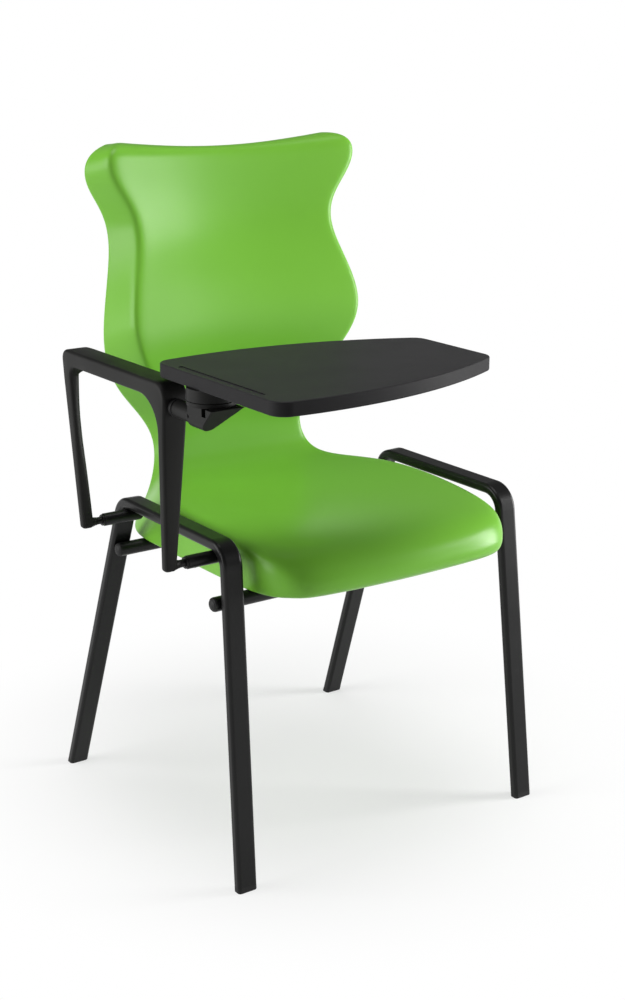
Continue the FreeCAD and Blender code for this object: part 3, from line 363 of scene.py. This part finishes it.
PLATED_STEEL = Finish(
    "zinc_plate", tone=(0.52, 0.52, 0.53), second_tone=(0.60, 0.60, 0.60),
    roughness=(0.26, 0.40), relief=Relief.TURNED, relief_scale=900.0, relief_height=0.00001,
    metallic=1.0)
TURNED_BRASS = Finish(
    "turned_brass", tone=(0.62, 0.44, 0.16), second_tone=(0.70, 0.52, 0.22),
    roughness=(0.24, 0.36), relief=Relief.TURNED, relief_scale=900.0, relief_height=0.00001,
    metallic=1.0)
SLIP_PLASTIC = Finish(
    "slip_plastic", tone=(0.60, 0.60, 0.57), second_tone=(0.66, 0.66, 0.63),
    roughness=(0.35, 0.45), relief=Relief.SATIN, relief_scale=1200.0, relief_height=0.00002)


# Pieces
def dress_nodes(finish: Finish, names: Sequence[str]) -> None:
    """Give carried-over solids their finish.

    Args:
        finish: Finish of all of them.
        names: Names of the solids' nodes.
    """
    for name in names:
        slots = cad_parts[name].data.materials
        slots.clear()
        slots.append(finish.material())
        log.info("dressed %s in %s", name, finish.name)


def add_piece(name: str, points: np.ndarray, faces: Sequence[Sequence[int]], finish: Finish,
              part: Part, stands_for: Sequence[str]) -> None:
    """Make one smooth mesh piece that rides on a body of the chair.

    Args:
        name: Name of the piece.
        points: Corners, in millimetres from the floor under the middle of the seat.
        faces: Corner numbers of each face.
        finish: Finish of the piece.
        part: Body that it rides on.
        stands_for: Solids that it replaces.
    """
    mesh = bpy.data.meshes.new(name)
    places = (points + np.array(MIDDLE)) / MM_PER_METRE
    mesh.from_pydata(places.tolist(), [], [list(face) for face in faces])
    mesh.validate()
    mesh.polygons.foreach_set("use_smooth", [True] * len(mesh.polygons))
    mesh.materials.append(finish.material())
    piece = bpy.data.objects.new(name, mesh)
    bpy.context.scene.collection.objects.link(piece)
    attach(piece, part.value)
    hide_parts(*stands_for)
    log.info("built %s: %d faces", name, len(mesh.polygons))


# Curves and meshes
DEGREE = 3
WELD_DECIMALS = 4
ARC_POINTS = 9


def cubic_weights(count: int, samples: np.ndarray) -> np.ndarray:
    """Weights of a clamped cubic over a row of poles.

    Args:
        count: Number of poles.
        samples: Places along the curve, from 0 to count - DEGREE.

    Returns:
        One row of weights for each sample.
    """
    last = count - DEGREE
    knots = np.concatenate([np.zeros(DEGREE), np.arange(last + 1), np.full(DEGREE, last)])
    weights = np.zeros((len(samples), count + DEGREE))
    for k in range(count + DEGREE):
        weights[:, k] = (samples >= knots[k]) & (samples < knots[k + 1])
    weights[samples >= last] = 0.0
    weights[samples >= last, count - 1] = 1.0
    for order in range(1, DEGREE + 1):
        raised = np.zeros_like(weights)
        for k in range(count + DEGREE - order):
            rise = knots[k + order] - knots[k]
            fall = knots[k + order + 1] - knots[k + 1]
            if rise > 0:
                raised[:, k] += (samples - knots[k]) / rise * weights[:, k]
            if fall > 0:
                raised[:, k] += (knots[k + order + 1] - samples) / fall * weights[:, k + 1]
        weights = raised
    return weights[:, :count]


def grid_faces(rows: int, columns: int, start: int = 0, flip: bool = False) -> list[Face]:
    """Quads of a grid of points stored row by row.

    Args:
        rows: Number of rows.
        columns: Number of points in a row.
        start: Number of the first point.
        flip: Turn the faces over.

    Returns:
        Corner numbers of the quads.
    """
    quads = []
    for i in range(rows - 1):
        for j in range(columns - 1):
            a = start + i * columns + j
            quad = (a, a + 1, a + columns + 1, a + columns)
            quads.append(quad[::-1] if flip else quad)
    return quads


def tube_faces(rings: int, around: int) -> list[Face]:
    """Quads of a closed tube of rings, with a face over each end.

    Args:
        rings: Number of rings.
        around: Points in a ring.

    Returns:
        Corner numbers of the faces.
    """
    faces = []
    for i in range(rings - 1):
        here, there = i * around, (i + 1) * around
        for j in range(around):
            on = (j + 1) % around
            faces.append((here + j, here + on, there + on, there + j))
    faces.append(tuple(range(around - 1, -1, -1)))
    faces.append(tuple(range((rings - 1) * around, rings * around)))
    return faces


def weld(points: np.ndarray, faces: Sequence[Face]) -> tuple[np.ndarray, list[list[int]]]:
    """Join points that fall together and drop what that closes up.

    Args:
        points: Corners, in millimetres.
        faces: Corner numbers of each face.

    Returns:
        The joined points and the faces between them.
    """
    _, first, number = np.unique(np.round(points, WELD_DECIMALS), axis=0, return_index=True,
                                 return_inverse=True)
    number = number.reshape(-1)
    joined = []
    for face in faces:
        loop = []
        for corner in face:
            if number[corner] not in loop:
                loop.append(int(number[corner]))
        if len(loop) > 2:
            joined.append(loop)
    return points[first], joined


def rounded_path(spots: Sequence[Pair], radii: Sequence[float], count: int) -> np.ndarray:
    """Even points along a path whose inner corners are rounded.

    Args:
        spots: Ends and corners of the path.
        radii: Rounding of each corner between the ends.
        count: Number of points wanted.

    Returns:
        The points.
    """
    line = [np.asarray(spots[0], float)]
    for k, radius in enumerate(radii, 1):
        before, corner, after = (np.asarray(spots[i], float) for i in (k - 1, k, k + 1))
        back, on = (way / np.linalg.norm(way) for way in (before - corner, after - corner))
        half = math.acos(float(np.clip(back @ on, -1.0, 1.0))) / 2
        middle = corner + (back + on) / np.linalg.norm(back + on) * (radius / math.sin(half))
        first, last = (corner + way * (radius / math.tan(half)) - middle for way in (back, on))
        swing = math.pi - 2 * half
        for share in np.linspace(0.0, 1.0, ARC_POINTS):
            spoke = math.sin((1 - share) * swing) * first + math.sin(share * swing) * last
            line.append(middle + spoke / math.sin(swing))
    line.append(np.asarray(spots[-1], float))
    corners = np.array(line)
    steps = np.linalg.norm(np.diff(corners, axis=0), axis=1)
    gone = np.concatenate([[0.0], np.cumsum(steps)])
    even = np.linspace(0.0, gone[-1], count)
    return np.stack([np.interp(even, gone, column) for column in corners.T], axis=1)


def turned(profile: Sequence[Pair], centre: Triple,
           around: int = 40) -> tuple[np.ndarray, list[Face]]:
    """Closed round piece turned about a line across the chair.

    Args:
        profile: Pairs of the way along the line and the radius.
        centre: Where the way along the line starts.
        around: Points in a ring.

    Returns:
        Points and faces.
    """
    points = []
    for reach, radius in profile:
        for k in range(around):
            spin = 2 * math.pi * k / around
            points.append((reach, -radius * math.sin(spin), radius * math.cos(spin)))
    return np.array(points) + np.array(centre), tube_faces(len(profile), around)


# Seat shell
class Station(Enum):
    """Stations of the shell from the front lip over the seat and up the back.

    Each holds, in millimetres, the ridge (half width, y, rise), the rim (half
    width, y, rise), the middle of the panel (y, rise) and how far before the
    ridge its rounding begins, and then how often its corner is evened out.
    """

    LIP = (157, -269, 0, 172, -250, 0, -276, 0, 44, 2)
    LIP_FRONT = (177, -285, 9, 191, -240, 0, -293, 10, 46, 3)
    ROLL = (195, -282, 40, 202, -212, 0, -291, 36, 46, 3)
    ROLL_TOP = (209, -251, 65, 207, -172, 0, -262, 58, 42, 2)
    SEAT_FRONT = (212, -184, 71, 209, -120, 0, -197, 59, 30, 1)
    SEAT_MIDDLE = (208, -70, 72, 210, -45, 0, -75, 50, 20, 0)
    SEAT_REAR = (200, 30, 72, 210, 50, 0, 25, 48, 16, 0)
    BIGHT_FRONT = (174, 98, 66, 212, 128, 2, 105, 52, 16, 0)
    BIGHT = (131, 150, 69, 150, 166, 33, 152, 74, 16, 0)
    WAIST = (115, 163, 130, 113, 194, 124, 168, 130, 16, 0)
    LOIN = (142, 132, 204, 190, 192, 193, 153, 208, 16, 0)
    LUMBAR = (220, 86, 300, 227, 168, 280, 103, 303, 16, 0)
    NECK = (158, 144, 422, 181, 194, 422, 164, 420, 16, 0)
    SHOULDER = (180, 142, 478, 206, 200, 476, 167, 474, 20, 0)
    EAR = (220, 137, 524, 230, 196, 510, 165, 513, 24, 0)
    CREST = (206, 140, 562, 223, 190, 545, 165, 548, 26, 0)
    TOP = (172, 180, 558, 188, 190, 556, 187, 545, 22, 0)

    def __init__(self, *row: int) -> None:
        """Sort the numbers of a station by what they tell.

        Args:
            row: The numbers, in the order above.
        """
        self.ridge, self.rim, self.middle = row[0:3], row[3:6], (0, *row[6:8])
        self.softness, self.easing = row[8:]


# Borders of a skin, and whether the rim along each is turned over
BORDERS = ((np.s_[0, :], True), (np.s_[-1, :], False), (np.s_[:, 0], False), (np.s_[:, -1], True))


@dataclass
class SeatShell:
    """Seat and back in one moulding with a rounded rim.

    Sizes in millimetres. The shares place the poles of a section: on the panel
    from its middle to the ridge, on the flank from the ridge to the rim, and on
    the rear side from its middle to the rim.
    """

    base: float = 406.2
    rim_round: float = 4.5
    rim_steps: int = 5
    panel_shares: tuple[float, ...] = (0.0, 0.4)
    flank_share: float = 0.6
    rear_shares: tuple[float, ...] = (0.0, 0.3, 0.55, 0.75, 0.86, 0.93, 1.0)
    rows: int = 230
    columns: int = 150

    def build(self) -> None:
        """Make the shell's mesh in place of its solid."""
        sitting, rear = self._nets()
        weights = [cubic_weights(poles, np.linspace(0.0, poles - DEGREE, samples))
                   for poles, samples in zip(sitting.shape, (self.rows, self.columns))]
        front, back, corner = (
            np.einsum("ai,bj,ijk->abk", *weights, net)
            for net in (self._drawn_in(sitting), self._drawn_in(rear), sitting))
        points = [front.reshape(-1, 3), back.reshape(-1, 3)]
        start = self.rows * self.columns
        faces = grid_faces(self.rows, self.columns)
        faces += grid_faces(self.rows, self.columns, start, flip=True)
        start *= 2
        for border, flip in BORDERS:
            strip = self._rim_strip(front[border], corner[border], back[border])
            points.append(strip.reshape(-1, 3))
            faces += grid_faces(strip.shape[0], strip.shape[1], start, flip)
            start += strip.shape[0] * strip.shape[1]
        joined, loops = weld(np.concatenate(points), faces)
        add_piece("seat_moulding", joined, loops, GREEN_SHELL, Part.CHAIR,
                  ["seat_shell"])

    def _nets(self) -> tuple[np.ndarray, np.ndarray]:
        """Pole nets of the sitting side and the rear side, which share their borders.

        Returns:
            The two nets, one row for each station.
        """
        sitting, rear = [], []
        for station in Station:
            for net, half in zip((sitting, rear), self._half_sections(station)):
                other = half[:0:-1] * np.array([-1.0, 1.0, 1.0])
                net.append(np.concatenate([other, half]))
        rear[0], rear[-1] = sitting[0], sitting[-1]
        return np.array(sitting), np.array(rear)

    def _half_sections(self, station: Station) -> tuple[np.ndarray, np.ndarray]:
        """Poles of one station from the middle to the rim.

        Args:
            station: The station.

        Returns:
            Poles of the sitting side and of the rear side.
        """
        lift = np.array([0.0, 0.0, self.base])
        ridge, rim, middle = (np.array(spot) + lift
                              for spot in (station.ridge, station.rim, station.middle))
        sitting = []
        for share in (*self.panel_shares, 1.0 - station.softness / ridge[0]):
            spot = middle + (ridge - middle) * share ** 2
            spot[0] = ridge[0] * share
            sitting.append(spot)
        near = min(station.softness / np.linalg.norm(rim - ridge), self.flank_share / 2)
        for share in (0.0, near, self.flank_share, 1.0):
            sitting.append(ridge + (rim - ridge) * share)
        rear = [rim * np.array([share, 1.0, 1.0]) for share in self.rear_shares]
        return self._eased(np.array(sitting), station.easing), np.array(rear)

    @staticmethod
    def _eased(poles: np.ndarray, passes: int) -> np.ndarray:
        """Poles of a section with its corner spread out.

        Args:
            poles: Poles from the middle to the rim.
            passes: How often the poles between the ends are evened out.

        Returns:
            The eased poles.
        """
        for _ in range(passes):
            poles[1:-1] = (poles[:-2] + 2.0 * poles[1:-1] + poles[2:]) / 4.0
        return poles

    def _drawn_in(self, net: np.ndarray) -> np.ndarray:
        """The net with its border poles drawn in to leave room for the rounded rim.

        Args:
            net: Poles of one side.

        Returns:
            The smaller net.
        """
        drawn = net.copy()
        rows, columns = net.shape[:2]
        for i in range(rows):
            for j in range(columns):
                inner = net[min(max(i, 1), rows - 2), min(max(j, 1), columns - 2)]
                away = inner - net[i, j]
                reach = np.linalg.norm(away)
                if reach > 0:
                    drawn[i, j] += away / reach * self.rim_round
        return drawn

    def _rim_strip(self, near: np.ndarray, corner: np.ndarray, far: np.ndarray) -> np.ndarray:
        """Rounded strip between the two sides along one border.

        Args:
            near: Border of the sitting side.
            corner: Sharp line that the strip rounds off.
            far: Border of the rear side.

        Returns:
            Grid of points across and along the strip.
        """
        lines = []
        for share in np.linspace(0.0, 1.0, self.rim_steps):
            rest = 1 - share
            lines.append(near * rest ** 2 + corner * 2 * share * rest + far * share ** 2)
        return np.array(lines)


# Frame
@dataclass
class TubeFrame:
    """Side frames, cross tubes and arm stubs, with their trim and fastenings."""

    tubes: tuple[str, ...] = (
        "side_frame_right", "side_frame_left", "front_cross_tube", "rear_cross_tube",
        "arm_stub_front", "arm_stub_rear", "front_spigot", "rear_spigot")
    trim: tuple[str, ...] = (
        "glide_front_right", "glide_front_left", "glide_rear_right", "glide_rear_left",
        "front_cross_caps", "rear_cross_caps", "stub_plugs")
    screws: tuple[str, ...] = ("seat_screws", "stub_set_screws")
    inserts: tuple[str, ...] = ("seat_inserts",)

    def dress(self) -> None:
        """Finish the carried-over solids."""
        dress_nodes(BLACK_COAT, self.tubes)
        dress_nodes(BLACK_TRIM, self.trim)
        dress_nodes(PLATED_STEEL, self.screws)
        dress_nodes(TURNED_BRASS, self.inserts)


# Arm and tablet
RIGHT_ANGLE = 90.0
QUARTERS = ((1, 1), (-1, 1), (-1, -1), (1, -1))  # signs of a section's corners, in turn


def kept_share(size: float, whole: float) -> float:
    """Size as a share of the whole, kept between 0 and 1."""
    return float(np.clip(size / whole, 0.0, 1.0))


@dataclass
class LoopArm:
    """Moulded loop arm: a flat bar on two posts that narrow to their feet.

    Sizes in millimetres, from the floor under the middle of the seat. Pairs are
    of the front post and the rear post. The outside and inside of a post are
    taken across the chair, from the arm's middle.
    """

    middle: float = -313.0
    half_width: float = 19.0
    top: float = 704.0
    under: float = 682.0
    foot: float = 448.8
    outer_ends: Pair = (-180.3, 62.0)
    outer_tops: Pair = (-205.0, 72.0)
    inner_ends: Pair = (-166.3, 48.0)
    inner_tops: Pair = (-186.0, 50.0)
    outer_rounds: Pair = (22.0, 12.0)
    inner_rounds: Pair = (42.0, 16.0)
    bend_room: float = 1.1  # from the bar down to a bend's start, in inner roundings
    bar_start: float = 4.0  # from the front rounding's end to the start of the straight bar
    foot_outside: float = -7.0
    foot_inside: float = 10.0
    waist_inside: float = -1.5  # inside of the rear post where it is slimmest
    waist_drop: float = 74.0  # from the bar down to that place
    flare_drop: float = 14.0  # from the bar down to the end of the rear post's flare
    facet: float = 6.0  # added to the rounding of the rear post's inward edge at its waist
    edge: float = 4.5  # rounding of the other edges
    least_flat: float = 0.3  # flat that is left between two edges
    sole: float = 4.0  # rounding under the feet
    sole_turns: Triple = (30.0, 60.0, 90.0)
    boss: tuple[Pair, ...] = ((2.0, 6.9), (10.0, 6.8), (11.5, 6.3), (13.5, 5.8), (16.0, 5.5))
    boss_places: Pair = (-173.335, 54.971)
    boss_height: float = 455.8
    front_points: int = 14
    bend_points: int = 26
    bar_points: int = 6
    rear_points: int = 24
    edge_points: int = 6

    def build(self) -> None:
        """Make the arm's mesh in place of its solid."""
        outer = self._contour(self.outer_ends, self.outer_tops, self.top, self.outer_rounds)
        inner = self._contour(self.inner_ends, self.inner_tops, self.under, self.inner_rounds)
        rings = self._soles([self._section(*pair) for pair in zip(outer, inner)])
        points, faces = np.concatenate(rings), tube_faces(len(rings), len(rings[0]))
        for place in self.boss_places:
            lathe, more = turned(self.boss, (self.middle, place, self.boss_height))
            faces += [tuple(corner + len(points) for corner in face) for face in more]
            points = np.concatenate([points, lathe])
        add_piece("arm_moulding", points, faces, BLACK_MOULDING, Part.CHAIR,
                  ["arm_rest"])

    def _contour(self, ends: Pair, tops: Pair, level: float, rounds: Pair) -> np.ndarray:
        """Outer or inner line of the loop from the front foot to the rear foot.

        Args:
            ends: Where its posts end at the feet.
            tops: Where its posts meet the bar.
            level: Height of its bar.
            rounds: Rounding where they meet.

        Returns:
            Points as (y, z), as many for one line as for the other.
        """
        ankle = self.foot + self.sole
        front, rear = ((ends[0], ankle), (tops[0], level)), ((tops[1], level), (ends[1], ankle))
        front_low, rear_low = (self.under - self.bend_room * turn for turn in self.inner_rounds)
        begin, end = self._at_height(front, front_low), self._at_height(rear, rear_low)
        bar = ((self.inner_tops[0] + self.inner_rounds[0] + self.bar_start, level),
               (self.inner_tops[1] - self.inner_rounds[1], level))
        return np.concatenate([
            rounded_path((front[0], begin), (), self.front_points)[:-1],
            rounded_path((begin, front[1], bar[0]), rounds[:1], self.bend_points)[:-1],
            rounded_path(bar, (), self.bar_points)[:-1],
            rounded_path((bar[1], rear[0], end), rounds[1:], self.bend_points)[:-1],
            rounded_path((end, rear[1]), (), self.rear_points)])

    @staticmethod
    def _at_height(line: tuple[Pair, Pair], height: float) -> Pair:
        """Point of a straight line at one height.

        Args:
            line: Its two ends as (y, z).
            height: The height.

        Returns:
            The point.
        """
        (y0, z0), (y1, z1) = line
        return y0 + (y1 - y0) * (height - z0) / (z1 - z0), height

    def _widths(self, spot: np.ndarray) -> Pair:
        """Outside and inside of the arm across the chair at a point of its inner line.

        Args:
            spot: The point as (y, z).

        Returns:
            The two places across the chair.
        """
        depth, length = self.under - spot[1], self.under - self.foot
        down = kept_share(depth, length)
        outside = -self.half_width + (self.foot_outside + self.half_width) * down
        inside = self.half_width + (self.foot_inside - self.half_width) * down
        if spot[0] > 0:
            along = kept_share(depth - self.waist_drop, length - self.waist_drop)
            slim = self.waist_inside + (self.foot_inside - self.waist_inside) * along
            flare = kept_share(depth, self.flare_drop)
            smooth = flare * flare * (3.0 - 2.0 * flare)
            inside = self.half_width + (slim - self.half_width) * smooth
        return self.middle + outside, self.middle + inside

    def _inner_edge(self, spot: np.ndarray, width: float) -> float:
        """Rounding of the inward edge, which widens to a facet at the rear post's waist.

        Args:
            spot: Point of the inner line as (y, z).
            width: Width of the arm there.

        Returns:
            The rounding.
        """
        if spot[0] <= 0:
            return self.edge
        below = self.under - spot[1] - self.waist_drop
        edge = self.edge + self.facet * math.exp(-(below / self.waist_drop) ** 2)
        return min(edge, width - self.edge - self.least_flat)

    def _section(self, outer: np.ndarray, inner: np.ndarray) -> np.ndarray:
        """Rounded rectangle between matching points of the two lines.

        Args:
            outer: Point of the outer line.
            inner: Point of the inner line.

        Returns:
            Ring of points.
        """
        outside, inside = self._widths(inner)
        way = inner - outer
        depth, width = float(np.linalg.norm(way)), inside - outside
        edges = (self._inner_edge(inner, width), self.edge, self.edge, self.edge)
        ring = []
        for quarter, ((side, face), edge) in enumerate(zip(QUARTERS, edges)):
            for turn in np.linspace(0.0, RIGHT_ANGLE, self.edge_points):
                spin = math.radians(turn + RIGHT_ANGLE * quarter)
                across = side * (width / 2 - edge) + edge * math.cos(spin)
                inward = face * (depth / 2 - edge) + edge * math.sin(spin)
                spot = outer + way * (0.5 + inward / depth)
                ring.append(((outside + inside) / 2 + across, *spot))
        return np.array(ring)

    def _soles(self, rings: list[np.ndarray]) -> list[np.ndarray]:
        """Round off the undersides of the feet.

        Args:
            rings: Rings of the loop from foot to foot.

        Returns:
            The rings with more at each end.
        """
        first, last = [], []
        for foot, soles in ((rings[0], first), (rings[-1], last)):
            centre = foot.mean(axis=0)
            half = foot.max(axis=0) - centre
            for turn in self.sole_turns:
                drop = self.sole * math.sin(math.radians(turn))
                inset = self.sole * (1.0 - math.cos(math.radians(turn)))
                shrink = np.array([1.0 - inset / half[0], 1.0 - inset / half[1], 1.0])
                soles.append(centre + (foot - centre) * shrink - np.array([0.0, 0.0, drop]))
        return first[::-1] + rings + last


@dataclass
class TabletArm:
    """Tablet hinge and writing tablet."""

    mouldings: tuple[str, ...] = ("tablet_bracket", "swivel_drum")
    boards: tuple[str, ...] = ("tablet_board",)
    thrust_rings: tuple[str, ...] = ("thrust_ring",)
    slip_rings: tuple[str, ...] = ("slip_ring",)
    steel: tuple[str, ...] = ("bracket_set_screw", "pivot_shaft", "swivel_bolt", "tablet_screws")
    inserts: tuple[str, ...] = ("swivel_insert",)

    def dress(self) -> None:
        """Finish the carried-over solids."""
        dress_nodes(BLACK_MOULDING, self.mouldings)
        dress_nodes(TABLET_TOP, self.boards)
        dress_nodes(BLACK_TRIM, self.thrust_rings)
        dress_nodes(SLIP_PLASTIC, self.slip_rings)
        dress_nodes(PLATED_STEEL, self.steel)
        dress_nodes(TURNED_BRASS, self.inserts)


# Studio
WHITE = (1.0, 1.0, 1.0, 1.0)


def aimed(place: Vector, target: Vector) -> Matrix:
    """Matrix of a camera or lamp.

    Args:
        place: Where it stands.
        target: What it looks at.

    Returns:
        The matrix.
    """
    turn = (target - place).to_track_quat("-Z", "Y")
    return Matrix.Translation(place) @ turn.to_matrix().to_4x4()


@dataclass(frozen=True)
class Lamp:
    """One softbox, with its sizes in metres and its power in watts."""

    name: str
    place: Triple
    target: Triple
    width: float
    height: float
    power: float

    def hang(self) -> None:
        """Make the lamp."""
        light = bpy.data.lights.new(self.name, "AREA")
        light.shape = "RECTANGLE"
        light.size, light.size_y = self.width, self.height
        light.energy = self.power
        lamp = bpy.data.objects.new(self.name, light)
        lamp.matrix_world = aimed(Vector(self.place), Vector(self.target))
        bpy.context.scene.collection.objects.link(lamp)


@dataclass
class Studio:
    """Pale floor, white surround, soft lamps and the camera.

    Sizes in metres, angles in degrees, lens and sensor in millimetres. The floor
    is white beyond the glow's end and keeps only the floor glow's share of that
    within its start. The surround is white for rays that rise less than
    white_low and soft for those that rise more than white_high.
    """

    azimuth: float = -34.852
    elevation: float = 16.5865
    place: Triple = (-1.29482, -1.85828, 1.15487)
    lens: float = 60.17
    sensor: float = 36.0
    floor_half: float = 12.0
    floor_tone: float = 0.85
    floor_glow: float = 0.50
    glow_centre: Triple = (0.10, 0.16, 0.0)
    glow_start: float = 0.20
    glow_end: float = 0.66
    ambient: float = 0.15
    white_low: float = 0.08
    white_high: float = 0.14
    lamps: tuple[Lamp, ...] = (
        Lamp("left_lamp", place=(-2.35, 0.80, 1.1), target=(0.0, 0.1, 0.5),
             width=1.8, height=1.8, power=54.0),
        Lamp("right_lamp", place=(2.12, -1.11, 0.85), target=(0.0, 0.1, 0.75),
             width=0.8, height=1.6, power=74.0),
        Lamp("top_lamp", place=(0.1, -0.2, 3.0), target=(0.03, 0.1, 0.4),
             width=1.5, height=1.5, power=33.0),
    )

    def build(self) -> None:
        """Set up floor, surround, lamps and camera."""
        self._floor()
        self._surround()
        for lamp in self.lamps:
            lamp.hang()
        self._camera()
        bpy.context.scene.view_settings.view_transform = "Standard"

    @staticmethod
    def _seen(tree: NodeTree) -> NodeSocket:
        """Share of 1 for rays that show the background: camera, glossy and transmission.

        Args:
            tree: Node tree to add to.

        Returns:
            The share.
        """
        path = tree.nodes.new("ShaderNodeLightPath").outputs
        seen = path["Is Camera Ray"]
        for other in ("Is Glossy Ray", "Is Transmission Ray"):
            seen = add_sum(tree, Sum.GREATEST, seen, path[other])
        return seen

    def _floor(self) -> None:
        """Lay the floor."""
        half = self.floor_half
        corners = [(-half, -half, 0), (half, -half, 0), (half, half, 0), (-half, half, 0)]
        mesh = bpy.data.meshes.new("floor")
        mesh.from_pydata(corners, [], [(0, 1, 2, 3)])
        mesh.materials.append(self._floor_paint())
        floor = bpy.data.objects.new("floor", mesh)
        bpy.context.scene.collection.objects.link(floor)

    def _floor_paint(self) -> Material:
        """Matt paint that keeps the shadow, and glows to white further out where it is seen.

        Returns:
            The material.
        """
        paint = bpy.data.materials.new("pale_floor")
        paint.use_nodes = True
        tree = paint.node_tree
        tree.nodes.remove(tree.nodes["Principled BSDF"])
        matt = tree.nodes.new("ShaderNodeBsdfDiffuse")
        matt.inputs["Color"].default_value = (self.floor_tone,) * 3 + (1.0,)
        glow = tree.nodes.new("ShaderNodeEmission")
        away = tree.nodes.new("ShaderNodeVectorMath")
        away.operation = "DISTANCE"
        away.inputs[1].default_value = self.glow_centre
        tree.links.new(add_reading(tree, Reading.PLACE), away.inputs[0])
        fade = add_range(tree, away.outputs["Value"], (self.glow_start, self.glow_end),
                         (self.floor_glow, 1.0), Fade.SMOOTH)
        share = add_sum(tree, Sum.PRODUCT, self._seen(tree), fade)
        add_blend(tree, share, matt.outputs["BSDF"], glow.outputs["Emission"], "Material Output")
        return paint

    def _surround(self) -> None:
        """White backdrop up to a low height where it is seen, soft even light elsewhere."""
        world = bpy.data.worlds.new("studio")
        bpy.context.scene.world = world
        world.use_nodes = True
        tree = world.node_tree
        soft, white = tree.nodes["Background"], tree.nodes.new("ShaderNodeBackground")
        for light, strength in ((soft, self.ambient), (white, 1.0)):
            light.inputs["Color"].default_value = WHITE
            light.inputs["Strength"].default_value = strength
        backdrop = add_range(tree, add_rise(tree, Reading.RAY),
                             (self.white_low, self.white_high), (1.0, 0.0), Fade.SMOOTH)
        share = add_sum(tree, Sum.PRODUCT, self._seen(tree), backdrop)
        add_blend(tree, share, soft.outputs["Background"], white.outputs["Background"],
                  "World Output")

    def _camera(self) -> None:
        """Stand the camera where the photograph was taken from."""
        turn, tilt = math.radians(self.azimuth), math.radians(self.elevation)
        level = math.cos(tilt)
        back = Vector((math.sin(turn) * level, -math.cos(turn) * level, math.sin(tilt)))
        eye = Vector(self.place)
        lens = bpy.data.cameras.new("camera")
        lens.sensor_width = self.sensor
        lens.lens = self.lens
        camera = bpy.data.objects.new("camera", lens)
        camera.matrix_world = aimed(eye, eye - back)
        bpy.context.scene.collection.objects.link(camera)
        bpy.context.scene.camera = camera


def main() -> None:
    """Build and dress the chair, then its studio."""
    logging.basicConfig(level=logging.INFO, format="%(name)s: %(message)s")
    SeatShell().build()
    TubeFrame().dress()
    LoopArm().build()
    TabletArm().dress()
    Studio().build()


if __name__ == "__main__":
    main()
